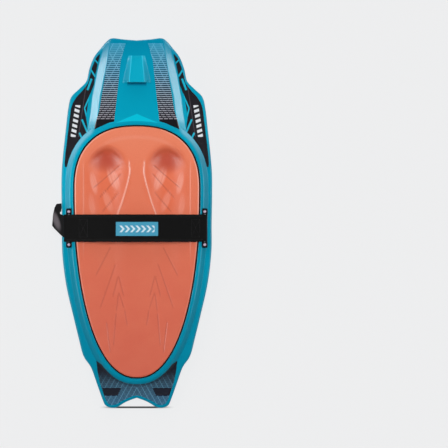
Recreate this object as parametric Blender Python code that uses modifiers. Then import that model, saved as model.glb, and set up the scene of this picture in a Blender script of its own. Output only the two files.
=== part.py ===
"""Kneeboard: a hollow rotomoulded hull with a foam core, a contoured knee pad and a padded thigh strap.

The board lies flat on its hull. Length runs along Y with the nose at +Y, width along X, +Z is up.
The origin is on the flat centre panel of the hull. All lengths are in metres.
"""
import math

import bmesh
import bpy
import numpy as np
from mathutils import Matrix, Vector

MM = 0.001

# ---------------------------------------------------------------- driving dimensions
GAP = 0.3 * MM                      # clearance between pieces that touch

# Half outline of the board in millimetres, from the nose round the right side to the tail notch.
OUTLINE_MM = [
    (0, 618), (45, 621.5), (84, 625), (104, 612), (122.5, 591), (145, 562), (160.5, 523), (170.5, 483),
    (196, 456), (222.5, 429), (233, 388), (241, 321), (250, 240), (255.5, 170), (256, 100), (254.5, 0),
    (253.5, -98), (240.5, -206), (216, -314), (196, -396), (186, -436), (176, -459), (155, -490),
    (135.5, -544), (116, -598), (106, -617), (86, -625), (66, -622.5), (45, -610), (27, -601), (0, -591.5),
]
NOSE_FAN_KEYS = 5                   # outline points that the nose rows fan out to
TAIL_FAN_KEYS = 7                   # the same at the tail
LONG_SEGMENT = 60 * MM              # outline segments longer than this get a row in the middle

RAIL_RADIUS = 11 * MM
RAIL_FULLNESS = 0.7                 # below 1 the rail is fuller than an ellipse
RAIL_STEPS = 6
OUTLINE_STEPS = 4                   # curve steps between outline points
TOP_COLUMNS = 16
BOTTOM_COLUMNS = 4

NOSE_RISE = 88 * MM
NOSE_FLAT_END = 60 * MM
NOSE_ROCKER_POWER = 2.2
TAIL_RISE = 30 * MM
TAIL_FLAT_END = -120 * MM
TAIL_ROCKER_POWER = 1.8
HALF_LENGTH = 625 * MM
THICKNESS_MM = [(-625, 30), (-520, 40), (-400, 51), (-200, 63), (0, 68), (200, 67), (350, 58),
                (450, 49), (560, 38), (625, 30)]
HALF_WIDTH_MM = [(-625, 95), (-544, 132), (-490, 153.5), (-436, 186), (-314, 216), (-206, 240.5),
                 (-98, 253.5), (100, 256), (240, 250), (388, 233), (429, 222.5), (483, 169.5),
                 (562, 144), (625, 95)]
CHINE_START = 0.67                  # share of the half width where the hull starts to turn up
CHINE_RISE = 0.18                   # of the thickness

# Knee pad outline: two half superellipses that meet at PAD_CENTRE_Y.
PAD_CENTRE_Y = 118 * MM
PAD_HALF_WIDTH = 211 * MM
PAD_FRONT_LENGTH = 211 * MM
PAD_FRONT_POWER = 2.4
PAD_REAR_LENGTH = 638.5 * MM
PAD_REAR_POWER = 2.2
PAD_MARGIN = 4.5 * MM               # black base sheet seen round the pad
PAD_BASE_THICKNESS = 3 * MM
PAD_CROWN = 3 * MM                  # pad level above the rim
PAD_EDGE_ROUNDING = 7 * MM
RECESS_DEPTH = 20 * MM
LIP_WIDTH = 18 * MM                 # flat rim round the pad
RIM_SLOPE = 22 * MM
DECK_DROP = 15 * MM                 # wings and rails below the rim
PLATFORM_DROP = 4 * MM              # raised nose platform below the rim
SLOPE_WIDTH = 20 * MM               # sloping side of the nose platform
PLATFORM_HALF_WIDTH = 116 * MM      # at PLATFORM_Y
PLATFORM_Y = 550 * MM
PLATFORM_TAPER = 49 / 236           # how much wider per length towards the pad

# Knee wells moulded in the pad.
WELL_X = 101 * MM
WELL_HALF_WIDTH = 62 * MM
WELL_DEPTH = 13 * MM
WELL_FRONT = 268 * MM
WELL_DEEPEST = 218 * MM
WELL_REAR = -330 * MM

# Moulded tow hook on the nose.
HOOK_SECTIONS_MM = [(565, 28.5, 18, 2), (520, 37.2, 22.5, 20), (476, 46, 27, 36)]   # y, base, top, height
HOOK_ROOT = 6 * MM
HOOK_SLOT_RADIUS = 11 * MM
HOOK_SLOT_Y = 472 * MM
HOOK_SLOT_HEIGHT = 14 * MM
HOOK_SLOT_HALF_LENGTH = 60 * MM

# Hull strakes: centre x at y, section half widths and height.
STRAKE_DEPTH = 4 * MM
STRAKE_TIP_DEPTH = 0.4 * MM
STRAKE_OVERLAP = 3 * MM
INNER_CREST = 4 * MM                # half widths of the inner strakes
INNER_ROOT = 7 * MM
OUTER_CREST = 5 * MM                # the outer strakes lean outwards: steep inside, shallow outside
OUTER_STEEP = 2 * MM
OUTER_SHALLOW = 22 * MM
OUTER_OVERLAP = 5 * MM
FIN_OVERLAP = 6 * MM
FIN_CREST = (-1 * MM, 1.5 * MM)
INNER_STRAKE_MM = [(273, 54), (200, 54), (0, 54), (-200, 54), (-400, 54), (-560, 54)]
OUTER_STRAKE_MM = [(393, 105), (330, 132), (270, 155), (210, 169), (150, 171), (0, 171), (-150, 171),
                   (-265, 169), (-310, 167)]
FIN_MM = [(-308, 132), (-360, 133), (-410, 134), (-460, 135), (-490, 135), (-505, 135)]
FIN_DEPTH_MM = [0.5, 5, 9, 12, 12, 7]
FIN_HALF_WIDTH = 10 * MM

# Cavity and foam core.
CAVITY_FRONT = 500 * MM
CAVITY_REAR = -480 * MM
CAVITY_STATIONS = 22
CAVITY_INSET = 10 * MM
CAVITY_ROOF = 26 * MM               # below the rim
HULL_SKIN = 5 * MM
FILL_HOLE_RADIUS = 12 * MM
FILL_HOLE_Y = -150 * MM

# Strap and its hardware.
STRAP_Y = -15 * MM
STRAP_HALF_WIDTH = 46.2 * MM
WEB_THICKNESS = 2.5 * MM
BAR_X = 230 * MM
BAR_Z = 66 * MM
BAR_RADIUS = 3 * MM
SEAT_Z = 56 * MM
BRACKET_HALF_LENGTH = 66.5 * MM
BRACKET_WIDTH = 18.6 * MM
BRACKET_FLOOR = 3 * MM
BLOCK_LENGTH = 19 * MM
BLOCK_HEIGHT = 15 * MM
BAR_SINK = 4.5 * MM                 # how far the bar goes into each end block
SCREW_OFFSET = 56 * MM
SCREW_RADIUS = 2.4 * MM
SCREW_HEAD_RADIUS = 4.8 * MM
SCREW_HEAD_HEIGHT = 2.8 * MM
SCREW_LENGTH = 24.5 * MM
INSERT_RADIUS = 5.5 * MM
INSERT_LENGTH = 11 * MM
SEAT_POCKET_MARGIN = 1.5 * MM

ARCH_RISE = 78 * MM
ARCH_HALF_SPAN = 245 * MM
ARCH_BASE = 65.7 * MM
ARCH_TILT = 0.0154                  # the arch is higher on the left, over the anchor strap
ARCH_RIGHT = 232.5 * MM            # where the webbing meets the right bar's loop
ARCH_LEFT = -236 * MM               # and where it passes over the left bar
FOLD_X = -246 * MM
LOOP_RADIUS = 4.65 * MM             # centre line of webbing round a bar
LOOP_SWEEP = math.radians(192)
LOOP_STEPS = 10
LOOP_TAIL = (16 * MM, 30 * MM)      # the webbing's end lies under the arch at these distances from the loop
PADDING_THICKNESS = 6 * MM
PADDING_X = (-112 * MM, 172 * MM)
PADDING_HALF_WIDTH = 42 * MM
LABEL_X = (-71 * MM, 73.5 * MM)
LABEL_Y = (-41 * MM, 6 * MM)
LABEL_THICKNESS = 0.8 * MM
PATCH_THICKNESS = 1.5 * MM
LOOP_PATCH_X = (-226 * MM, -124 * MM)
HOOK_PATCH_X = (-215 * MM, -135 * MM)
PATCH_HALF_WIDTH = 36 * MM
HOOK_PATCH_HALF_WIDTH = 34 * MM
ANCHOR_END_X = -128 * MM
ANCHOR_HALF_WIDTH = 38 * MM
TAB_THICKNESS = 2.2 * MM
TAB_PATH_MM = [(-248.2, 68.0), (-258, 64.5), (-268, 60.2), (-277, 57.0), (-283, 57.2), (-287, 59.5)]
# The tab's low and high edges (y) at each point of its path.
TAB_EDGES_MM = [(-47, 28), (-41.5, 35.5), (-33.5, 60.5), (-24.5, 64.5), (-15.5, 55.5), (-5.5, 30.5)]
TAB_HINGE_MM = (-247.4, 69.7)
LINING_THICKNESS = 1.54 * MM
LINING_INSET = (3 * MM, 6 * MM)     # from the tab's low and high edges

DECAL_THICKNESS = 0.5 * MM
DECAL_GAP = 0.35 * MM
DECAL_MARGIN = 12 * MM              # from the middle of the nose platform's slope to the wing decal
NOSE_DECAL_X_MM = (131, 118, 104, 90, 76)       # its lower edge follows the rim
NOSE_DECAL_MM = [(76, 352), (54, 550), (37, 606), (87.5, 606), (99, 550), (131, 381)]
WING_DECAL_MM = [(136, 560), (150, 530), (158, 500), (163, 474), (186, 450), (208, 428), (219, 400),
                 (226, 350), (233, 290), (240, 235), (243, 205), (240, 194), (236, 214), (224, 262),
                 (208, 294), (190, 318)]
WING_DECAL_ENDS = (571 * MM, 340 * MM)          # y of the two points beside the nose platform
TAIL_DECAL_MM = [(137, -470), (131, -500), (121.5, -540), (103, -594), (96, -606), (86, -611), (70, -609),
                 (51, -598), (31.5, -588.5), (14, -580)]
TAIL_ARC_HALF_WIDTH = 120 * MM
TAIL_ARC_STEPS = 8
WALK_STEP = 0.5 * MM

COLOURS = {
    "shell": ((0.012, 0.29, 0.42, 1), 0.32, 0.0),
    "foam": ((0.75, 0.66, 0.42, 1), 0.9, 0.0),
    "plug": ((0.03, 0.03, 0.03, 1), 0.5, 0.0),
    "pad": ((0.62, 0.19, 0.11, 1), 0.75, 0.0),
    "pad_base": ((0.02, 0.02, 0.02, 1), 0.8, 0.0),
    "decal": ((0.02, 0.03, 0.045, 1), 0.3, 0.0),
    "plastic": ((0.015, 0.015, 0.015, 1), 0.45, 0.0),
    "steel": ((0.6, 0.6, 0.6, 1), 0.3, 1.0),
    "brass": ((0.6, 0.45, 0.18, 1), 0.35, 1.0),
    "webbing": ((0.016, 0.016, 0.018, 1), 0.85, 0.0),
    "neoprene": ((0.02, 0.02, 0.022, 1), 0.9, 0.0),
    "label": ((0.05, 0.35, 0.5, 1), 0.5, 0.0),
    "velcro": ((0.03, 0.03, 0.032, 1), 0.95, 0.0),
}


# ---------------------------------------------------------------- scene helpers
def clear_scene():
    for obj in list(bpy.data.objects):
        bpy.data.objects.remove(obj, do_unlink=True)


def new_collection(name):
    collection = bpy.data.collections.new(name)
    bpy.context.scene.collection.children.link(collection)
    return collection


def material(name):
    found = bpy.data.materials.get(name)
    if found:
        return found
    colour, roughness, metallic = COLOURS[name]
    made = bpy.data.materials.new(name)
    made.use_nodes = True
    shader = made.node_tree.nodes["Principled BSDF"]
    shader.inputs["Base Color"].default_value = colour
    shader.inputs["Roughness"].default_value = roughness
    shader.inputs["Metallic"].default_value = metallic
    made.diffuse_color = colour
    return made


def add_object(name, mesh, material_name=None, smooth=False):
    """Link a part, or a cutter where no material is given."""
    obj = bpy.data.objects.new(name, mesh)
    if material_name:
        PARTS.objects.link(obj)
        mesh.materials.append(material(material_name))
    else:
        CUTTERS.objects.link(obj)
        obj.hide_render = True
        obj.display_type = "WIRE"
    if smooth:
        mesh.shade_smooth()
        mesh.set_sharp_from_angle(angle=math.radians(35))
    return obj


def mesh_from_bmesh(name, bm):
    bmesh.ops.remove_doubles(bm, verts=bm.verts, dist=0.01 * MM)
    bmesh.ops.recalc_face_normals(bm, faces=bm.faces)
    mesh = bpy.data.meshes.new(name)
    bm.to_mesh(mesh)
    bm.free()
    return mesh


def combine(target, other, operation, solver="EXACT"):
    modifier = target.modifiers.new(operation.lower(), "BOOLEAN")
    modifier.operation = operation
    modifier.solver = solver
    modifier.object = other


def box_mesh(name, low, high):
    bm = bmesh.new()
    size = [high[i] - low[i] for i in range(3)]
    centre = [(high[i] + low[i]) / 2 for i in range(3)]
    bmesh.ops.create_cube(bm, size=1.0, matrix=Matrix.Translation(centre) @ Matrix.Diagonal((*size, 1)))
    return mesh_from_bmesh(name, bm)


def rod_mesh(name, radius, length, axis, segments=20):
    """A cylinder centred on its origin, along X, Y or Z."""
    turn = {"X": Matrix.Rotation(math.pi / 2, 4, "Y"), "Y": Matrix.Rotation(math.pi / 2, 4, "X"),
            "Z": Matrix.Identity(4)}[axis]
    bm = bmesh.new()
    bmesh.ops.create_cone(bm, cap_ends=True, segments=segments, radius1=radius, radius2=radius,
                          depth=length, matrix=turn)
    return mesh_from_bmesh(name, bm)


def turned(name, profile, material_name, closed=False, steps=20):
    """Turn an (r, z) profile round Z with a Screw modifier."""
    mesh = bpy.data.meshes.new(name)
    edges = [(i, i + 1) for i in range(len(profile) - 1)]
    if closed:
        edges.append((len(profile) - 1, 0))
    mesh.from_pydata([(r, 0, z) for r, z in profile], edges, [])
    obj = add_object(name, mesh, material_name)
    screw = obj.modifiers.new("turn", "SCREW")
    screw.steps = steps
    screw.render_steps = steps
    screw.use_merge_vertices = True
    screw.merge_threshold = 0.00001
    screw.use_smooth_shade = True
    return obj


# ---------------------------------------------------------------- shape formulas
def smooth_curve(keys_mm):
    """A monotone cubic through (position, value) keys in millimetres, as a function in metres."""
    xs = np.array([k[0] for k in keys_mm], float) * MM
    ys = np.array([k[1] for k in keys_mm], float) * MM
    steps = np.diff(xs)
    slopes = np.diff(ys) / steps
    tangents = np.zeros(len(xs))
    tangents[0], tangents[-1] = slopes[0], slopes[-1]
    for i in range(1, len(xs) - 1):
        if slopes[i - 1] * slopes[i] > 0:
            a = 2 * steps[i] + steps[i - 1]
            b = steps[i] + 2 * steps[i - 1]
            tangents[i] = (a + b) / (a / slopes[i - 1] + b / slopes[i])

    def value(x):
        x = min(max(x, xs[0]), xs[-1])
        i = min(int(np.searchsorted(xs, x, side="right")) - 1, len(xs) - 2)
        h = steps[i]
        t = (x - xs[i]) / h
        return float((1 + 2 * t) * (1 - t) ** 2 * ys[i] + t * (1 - t) ** 2 * h * tangents[i]
                     + t * t * (3 - 2 * t) * ys[i + 1] + t * t * (t - 1) * h * tangents[i + 1])

    return value


thickness_at = smooth_curve(THICKNESS_MM)
half_width_at = smooth_curve(HALF_WIDTH_MM)


def smoothstep(low, high, x):
    t = min(max((x - low) / (high - low), 0.0), 1.0)
    return t * t * (3 - 2 * t)


def hull_z(y):
    """Height of the hull's centre panel: flat in the middle, turned up at nose and tail."""
    if y > NOSE_FLAT_END:
        return NOSE_RISE * ((y - NOSE_FLAT_END) / (HALF_LENGTH - NOSE_FLAT_END)) ** NOSE_ROCKER_POWER
    if y < TAIL_FLAT_END:
        return TAIL_RISE * ((TAIL_FLAT_END - y) / (HALF_LENGTH + TAIL_FLAT_END)) ** TAIL_ROCKER_POWER
    return 0.0


def rim_z(y):
    return hull_z(y) + thickness_at(y)


def pad_distance(x, y):
    """Distance from the pad's outline, negative inside."""
    front = y > PAD_CENTRE_Y
    length = PAD_FRONT_LENGTH if front else PAD_REAR_LENGTH
    power = PAD_FRONT_POWER if front else PAD_REAR_POWER
    u = abs(x) / PAD_HALF_WIDTH
    v = abs(y - PAD_CENTRE_Y) / length
    size = (u ** power + v ** power) ** (1 / power)
    if size < 1e-6:
        return -PAD_HALF_WIDTH
    scale = size ** (1 - power)
    slope = math.hypot(scale * u ** (power - 1) / PAD_HALF_WIDTH, scale * v ** (power - 1) / length)
    return (size - 1) / slope


def platform_edge(y):
    """Half width of the raised nose platform, at the middle of its sloping side."""
    return PLATFORM_HALF_WIDTH + (PLATFORM_Y - y) * PLATFORM_TAPER


def deck_z(x, y):
    """Top of the moulded shell outside the pad's recess."""
    outside = pad_distance(x, y) - LIP_WIDTH
    drop = DECK_DROP * smoothstep(0, RIM_SLOPE, outside)
    if y > PAD_CENTRE_Y:
        side = smoothstep(-SLOPE_WIDTH / 2, SLOPE_WIDTH / 2, abs(x) - platform_edge(y))
        platform = PLATFORM_DROP * smoothstep(0, RIM_SLOPE, outside)
        drop = platform + (drop - platform) * side
    return rim_z(y) - drop


def underside_z(x, y):
    share = abs(x) / half_width_at(y)
    return hull_z(y) + CHINE_RISE * thickness_at(y) * smoothstep(CHINE_START, 1.0, share)


def pad_outline(margin, count):
    """Right half of the pad's outline from the front centre to the rear centre, moved out by a margin."""
    points = []
    for i in range(count + 1):
        angle = math.pi / 2 - math.pi * i / count
        front = angle > 0
        length = (PAD_FRONT_LENGTH if front else PAD_REAR_LENGTH) + margin
        power = 2 / (PAD_FRONT_POWER if front else PAD_REAR_POWER)
        x = (PAD_HALF_WIDTH + margin) * abs(math.cos(angle)) ** power
        y = math.copysign(length * abs(math.sin(angle)) ** power, angle)
        points.append(Vector((x, PAD_CENTRE_Y + y)))
    points[0].x = 0.0
    points[-1].x = 0.0
    return points


def well_depth(x, y):
    """Depth of the knee wells at a point of the pad."""
    if y > WELL_DEEPEST:
        along = 1 - smoothstep(WELL_DEEPEST, WELL_FRONT, y)
    else:
        along = smoothstep(WELL_REAR, WELL_DEEPEST, y) ** 1.3
    across = (abs(x) - WELL_X) / WELL_HALF_WIDTH
    return WELL_DEPTH * along * math.exp(-abs(across) ** 3)


def pad_top_z(x, y):
    inside = max(-pad_distance(x, y), 0.0)
    edge = min(inside / PAD_EDGE_ROUNDING, 1.0)
    rounded = PAD_EDGE_ROUNDING * (1 - math.sqrt(max(1 - (1 - edge) ** 2, 0.0)))
    return rim_z(y) + PAD_CROWN - 0.7 * rounded - well_depth(x, y)


# ---------------------------------------------------------------- board outline and rows
def catmull_rom(points, steps):
    """A smooth curve through 2D points, with the steps between each pair."""
    padded = [points[0] * 2 - points[1]] + points + [points[-1] * 2 - points[-2]]
    curve = []
    for i in range(1, len(padded) - 2):
        p0, p1, p2, p3 = padded[i - 1:i + 3]
        for k in range(steps):
            t = k / steps
            curve.append(0.5 * (2 * p1 + (p2 - p0) * t + (2 * p0 - 5 * p1 + 4 * p2 - p3) * t * t
                                + (3 * p1 - p0 - 3 * p2 + p3) * t ** 3))
    curve.append(points[-1].copy())
    return curve


def outline_rows():
    """Rows of the hull grid: the outline point, its inward normal and the centre line's y."""
    keys = [Vector((x * MM, y * MM)) for x, y in OUTLINE_MM]
    dense = catmull_rom(keys, OUTLINE_STEPS)
    picked = []
    for k in range(len(keys) - 1):
        picked.append(k * OUTLINE_STEPS)
        if (keys[k + 1] - keys[k]).length > LONG_SEGMENT:
            picked.append(k * OUTLINE_STEPS + OUTLINE_STEPS // 2)
    picked.append((len(keys) - 1) * OUTLINE_STEPS)
    nose_end = NOSE_FAN_KEYS * OUTLINE_STEPS
    tail_start = (len(keys) - 1 - TAIL_FAN_KEYS) * OUTLINE_STEPS
    first = keys[0].y - RAIL_RADIUS
    last = keys[-1].y + RAIL_RADIUS
    rows = []
    for index in picked:
        point = dense[index]
        before = dense[max(index - 1, 0)]
        after = dense[min(index + 1, len(dense) - 1)]
        tangent = (after - before).normalized()
        normal = Vector((tangent.y, -tangent.x))
        if index in (0, len(dense) - 1):
            normal = Vector((0, -1 if index == 0 else 1))
        if index < nose_end:
            centre = first + (dense[nose_end].y - first) * index / nose_end
        elif index > tail_start:
            share = (index - tail_start) / (len(dense) - 1 - tail_start)
            centre = dense[tail_start].y + (last - dense[tail_start].y) * share
        else:
            centre = point.y
        rows.append((point, normal, centre))
    return rows


def row_interior(row, columns, lift, height):
    """Points from the centre line to the start of the rail, at the given height function."""
    point, normal, centre = row
    start = Vector((0, centre))
    end = point + normal * RAIL_RADIUS
    end.x = max(end.x, 0.0)
    line = []
    for j in range(columns + 1):
        spot = start.lerp(end, j / columns)
        line.append(Vector((spot.x, spot.y, height(spot.x, spot.y) + lift)))
    return line


def row_rail(row, top, bottom):
    point, normal, _ = row
    middle = (top + bottom) / 2
    half = (top - bottom) / 2
    line = []
    for k in range(1, RAIL_STEPS):
        angle = math.pi * k / RAIL_STEPS
        inset = RAIL_RADIUS * (1 - math.sin(angle) ** RAIL_FULLNESS)
        spot = point + normal * inset
        z = middle + half * math.copysign(abs(math.cos(angle)) ** RAIL_FULLNESS, math.cos(angle))
        line.append(Vector((max(spot.x, 0.0), spot.y, z)))
    return line


def grid_faces(bm, lines):
    """Triangles between lines of points, as mirrored halves. Stacked grids share their diagonals."""
    for side in (1, -1):
        rows = [[bm.verts.new((side * p.x, p.y, p.z)) for p in line] for line in lines]
        for a, b in zip(rows, rows[1:]):
            for j in range(len(a) - 1):
                bm.faces.new((a[j], a[j + 1], b[j + 1]))
                bm.faces.new((a[j], b[j + 1], b[j]))


def shell_body():
    bm = bmesh.new()
    lines = []
    for row in outline_rows():
        top = row_interior(row, TOP_COLUMNS, 0.0, deck_z)
        bottom = row_interior(row, BOTTOM_COLUMNS, 0.0, underside_z)
        lines.append(top + row_rail(row, top[-1].z, bottom[-1].z) + bottom[::-1])
    grid_faces(bm, lines)
    return add_object("shell", mesh_from_bmesh("shell", bm), "shell", smooth=True)


def deck_slab(name, material_name):
    """A thin skin that follows the deck, from which a decal is cut."""
    bm = bmesh.new()
    skins = []
    for lift in (DECAL_GAP, DECAL_GAP + DECAL_THICKNESS):
        skins.append([row_interior(row, TOP_COLUMNS, lift, deck_z) for row in outline_rows()])
        grid_faces(bm, skins[-1])
    rim = [[low[-1] for low in skins[0]], [high[-1] for high in skins[1]]]
    grid_faces(bm, rim)
    return add_object(name, mesh_from_bmesh(name, bm), material_name, smooth=True)


def outline_prism(name, points, low, high):
    """An upright prism with any flat outline."""
    bm = bmesh.new()
    base = [bm.verts.new((x, y, low)) for x, y in points]
    face = bm.faces.new(base)
    extruded = bmesh.ops.extrude_face_region(bm, geom=[face])
    moved = [v for v in extruded["geom"] if isinstance(v, bmesh.types.BMVert)]
    bmesh.ops.translate(bm, verts=moved, vec=(0, 0, high - low))
    return add_object(name, mesh_from_bmesh(name, bm))


def mirrored_outline(half):
    return [(p.x, p.y) for p in half] + [(-p.x, p.y) for p in half[-2:0:-1]]


# ---------------------------------------------------------------- hull
def swept_strake(name, keys_mm, section):
    """A strake along the hull: section(i) gives the (side, z) points at key i."""
    bm = bmesh.new()
    rings = []
    for i, (y_mm, x_mm) in enumerate(keys_mm):
        y = y_mm * MM
        rings.append([bm.verts.new((x_mm * MM + side, y, hull_z(y) + z)) for side, z in section(i)])
    count = len(rings[0])
    for a, b in zip(rings, rings[1:]):
        for j in range(count):
            bm.faces.new((a[j], a[(j + 1) % count], b[(j + 1) % count], b[j]))
    bm.faces.new(rings[0])
    bm.faces.new(rings[-1])
    return mesh_from_bmesh(name, bm)


def strake_depth(index, keys_mm):
    return STRAKE_TIP_DEPTH if index in (0, len(keys_mm) - 1) else STRAKE_DEPTH


def inner_strake_section(index):
    depth = strake_depth(index, INNER_STRAKE_MM)
    return [(-INNER_ROOT, STRAKE_OVERLAP), (-INNER_CREST, -depth), (INNER_CREST, -depth),
            (INNER_ROOT, STRAKE_OVERLAP)]


def outer_strake_section(index):
    depth = strake_depth(index, OUTER_STRAKE_MM)
    return [(-OUTER_STEEP, OUTER_OVERLAP), (0, -depth), (OUTER_CREST, -depth), (OUTER_SHALLOW, OUTER_OVERLAP)]


def fin_section(index):
    depth = FIN_DEPTH_MM[index] * MM
    return [(-FIN_HALF_WIDTH / 2, FIN_OVERLAP), (FIN_CREST[0], -depth), (FIN_CREST[1], -depth),
            (FIN_HALF_WIDTH, FIN_OVERLAP)]


def add_strakes(shell):
    for name, keys, section in (("inner_strake", INNER_STRAKE_MM, inner_strake_section),
                                ("outer_strake", OUTER_STRAKE_MM, outer_strake_section),
                                ("fin", FIN_MM, fin_section)):
        for side in (1, -1):
            mesh = swept_strake(name, keys, section)
            if side < 0:
                mesh.transform(Matrix.Diagonal((-1, 1, 1, 1)))
                mesh.flip_normals()
            combine(shell, add_object(f"{name}_{side}", mesh), "UNION")


def add_tow_hook(shell):
    """A wedge that rises rearwards, undercut at its rear so that a tow handle drops in."""
    bm = bmesh.new()
    rings = []
    for y_mm, base, top, height in HOOK_SECTIONS_MM:
        y = y_mm * MM
        z = deck_z(0, y)
        ring = [(-base * MM, z - HOOK_ROOT), (-base * MM, z), (-top * MM, z + height * MM),
                (top * MM, z + height * MM), (base * MM, z), (base * MM, z - HOOK_ROOT)]
        rings.append([bm.verts.new((x, y, height_)) for x, height_ in ring])
    count = len(rings[0])
    for a, b in zip(rings, rings[1:]):
        for j in range(count):
            bm.faces.new((a[j], a[(j + 1) % count], b[(j + 1) % count], b[j]))
    bm.faces.new(rings[0])
    bm.faces.new(rings[-1])
    combine(shell, add_object("hook_wedge", mesh_from_bmesh("hook_wedge", bm)), "UNION")
    slot = add_object("hook_slot", rod_mesh("hook_slot", HOOK_SLOT_RADIUS, 2 * HOOK_SLOT_HALF_LENGTH, "X"))
    slot.location = (0, HOOK_SLOT_Y, deck_z(0, HOOK_SLOT_Y) + HOOK_SLOT_HEIGHT)
    combine(shell, slot, "DIFFERENCE")


def pad_prism(name, margin, columns, low, high, material_name=None, count=48):
    """A body with the pad's outline between two height functions."""
    bm = bmesh.new()
    half = pad_outline(margin, count)
    lines = []
    for point in half:
        line = []
        for j in range(columns + 1):
            x = point.x * j / columns
            line.append(Vector((x, point.y, high(x, point.y))))
        for j in range(columns, -1, -1):
            x = point.x * j / columns
            line.append(Vector((x, point.y, low(x, point.y))))
        lines.append(line)
    grid_faces(bm, lines)
    return add_object(name, mesh_from_bmesh(name, bm), material_name, smooth=bool(material_name))


def close_ends(bm):
    """Fill the open ends of a lofted body."""
    edges = [edge for edge in bm.edges if edge.is_boundary]
    bmesh.ops.holes_fill(bm, edges=edges, sides=0)


def cavity_mesh(name, shrink):
    """The hull's hollow, or with a shrink the foam that fills it."""
    bm = bmesh.new()
    lines = []
    for k in range(CAVITY_STATIONS + 1):
        share = k / CAVITY_STATIONS
        y = CAVITY_REAR + (CAVITY_FRONT - CAVITY_REAR) * share
        y_shrunk = y + shrink * (1 - 2 * share)
        width = half_width_at(y) - CAVITY_INSET - shrink
        roof = rim_z(y) - CAVITY_ROOF
        floor = hull_z(y) + HULL_SKIN
        low = floor + min(CHINE_RISE * thickness_at(y) + 1 * MM, 0.75 * (roof - floor))
        high = max(low + 2 * MM, roof - 5 * MM)
        roof, high, low, floor = roof - shrink, high - shrink, low + shrink, floor + shrink
        section = [(0, roof), (width / 2, roof), (width - 6 * MM, roof), (width, high), (width, low),
                   (CHINE_START * width, floor), (0, floor)]
        lines.append([Vector((x, y_shrunk, z)) for x, z in section])
    grid_faces(bm, lines)
    bmesh.ops.remove_doubles(bm, verts=bm.verts, dist=0.01 * MM)
    close_ends(bm)
    return mesh_from_bmesh(name, bm)


def make_shell():
    shell = shell_body()
    add_strakes(shell)
    add_tow_hook(shell)

    recess = pad_prism("pad_recess", PAD_MARGIN + 0.4 * MM, 1,
                       lambda x, y: rim_z(y) - RECESS_DEPTH, lambda x, y: rim_z(y) + 40 * MM)
    combine(shell, recess, "DIFFERENCE")
    for side in (1, -1):
        inner = BAR_X - BRACKET_WIDTH / 2 - SEAT_POCKET_MARGIN
        outer = BAR_X + 60 * MM
        pocket_half = BRACKET_HALF_LENGTH + SEAT_POCKET_MARGIN
        low = (min(side * inner, side * outer), STRAP_Y - pocket_half, SEAT_Z)
        high = (max(side * inner, side * outer), STRAP_Y + pocket_half, SEAT_Z + 40 * MM)
        combine(shell, add_object(f"seat_pocket_{side}", box_mesh("seat_pocket", low, high)), "DIFFERENCE")
    for x, y in screw_places():
        depth = INSERT_LENGTH + 3 * GAP
        hole = add_object("insert_pocket", rod_mesh("insert_pocket", INSERT_RADIUS + GAP, 2 * depth, "Z"))
        hole.location = (x, y, SEAT_Z)
        combine(shell, hole, "DIFFERENCE")
    combine(shell, add_object("cavity", cavity_mesh("cavity", 0.0)), "DIFFERENCE")
    fill = add_object("fill_hole", rod_mesh("fill_hole", FILL_HOLE_RADIUS, 30 * MM, "Z", 24))
    fill.location = (0, FILL_HOLE_Y, rim_z(FILL_HOLE_Y) - RECESS_DEPTH)
    combine(shell, fill, "DIFFERENCE")
    return shell


def make_core():
    mesh = cavity_mesh("foam_core", GAP)
    add_object("foam_core", mesh, "foam", smooth=True)
    top = rim_z(FILL_HOLE_Y) - RECESS_DEPTH - 1.5 * GAP
    bottom = rim_z(FILL_HOLE_Y) - CAVITY_ROOF + GAP
    radius = FILL_HOLE_RADIUS - GAP
    profile = [(0, top), (radius - 1 * MM, top), (radius, top - 1 * MM), (radius - 0.6 * MM, top - 2.2 * MM),
               (radius, top - 3.4 * MM), (radius - 1.2 * MM, bottom), (0, bottom)]
    plug = turned("fill_plug", profile, "plug", steps=24)
    plug.location = (0, FILL_HOLE_Y, 0)


def make_pad():
    def base_low(x, y):
        return rim_z(y) - RECESS_DEPTH + GAP

    def base_high(x, y):
        return rim_z(y) - RECESS_DEPTH + PAD_BASE_THICKNESS

    def pad_low(x, y):
        return rim_z(y) - RECESS_DEPTH + PAD_BASE_THICKNESS + GAP

    pad_prism("pad_base", PAD_MARGIN, 1, base_low, base_high, "pad_base")
    pad_prism("knee_pad", 0.0, 9, pad_low, pad_top_z, "pad", count=36)


# ---------------------------------------------------------------- decals
def rim_foot(x, share, direction):
    """y at which the rim's slope has come down by a share, found by walking out from the pad's middle."""
    y = PAD_CENTRE_Y
    while pad_distance(x, y) < LIP_WIDTH + RIM_SLOPE * share:
        y += direction * WALK_STEP
    return y


def nose_decal_outline(side):
    rim = [(x * MM, rim_foot(x * MM, 0.6, 1) + 3 * MM) for x in NOSE_DECAL_X_MM]
    return [(side * x, y) for x, y in rim + [(x * MM, y * MM) for x, y in NOSE_DECAL_MM]]


def wing_decal_outline(side):
    front, rear = ((platform_edge(y) + DECAL_MARGIN, y) for y in WING_DECAL_ENDS)
    return [(side * x, y) for x, y in [front] + [(x * MM, y * MM) for x, y in WING_DECAL_MM] + [rear]]


def tail_decal_outline():
    """From the rim's rear edge down to a flat edge above the notch and the two tail tips."""
    upper = []
    for k in range(TAIL_ARC_STEPS + 1):
        x = TAIL_ARC_HALF_WIDTH * (1 - 2 * k / TAIL_ARC_STEPS)
        upper.append((x, rim_foot(x, 0.5, -1)))
    right = [(x * MM, y * MM) for x, y in TAIL_DECAL_MM]
    return upper[::-1] + right + [(-x, y) for x, y in right[::-1]]


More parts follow.
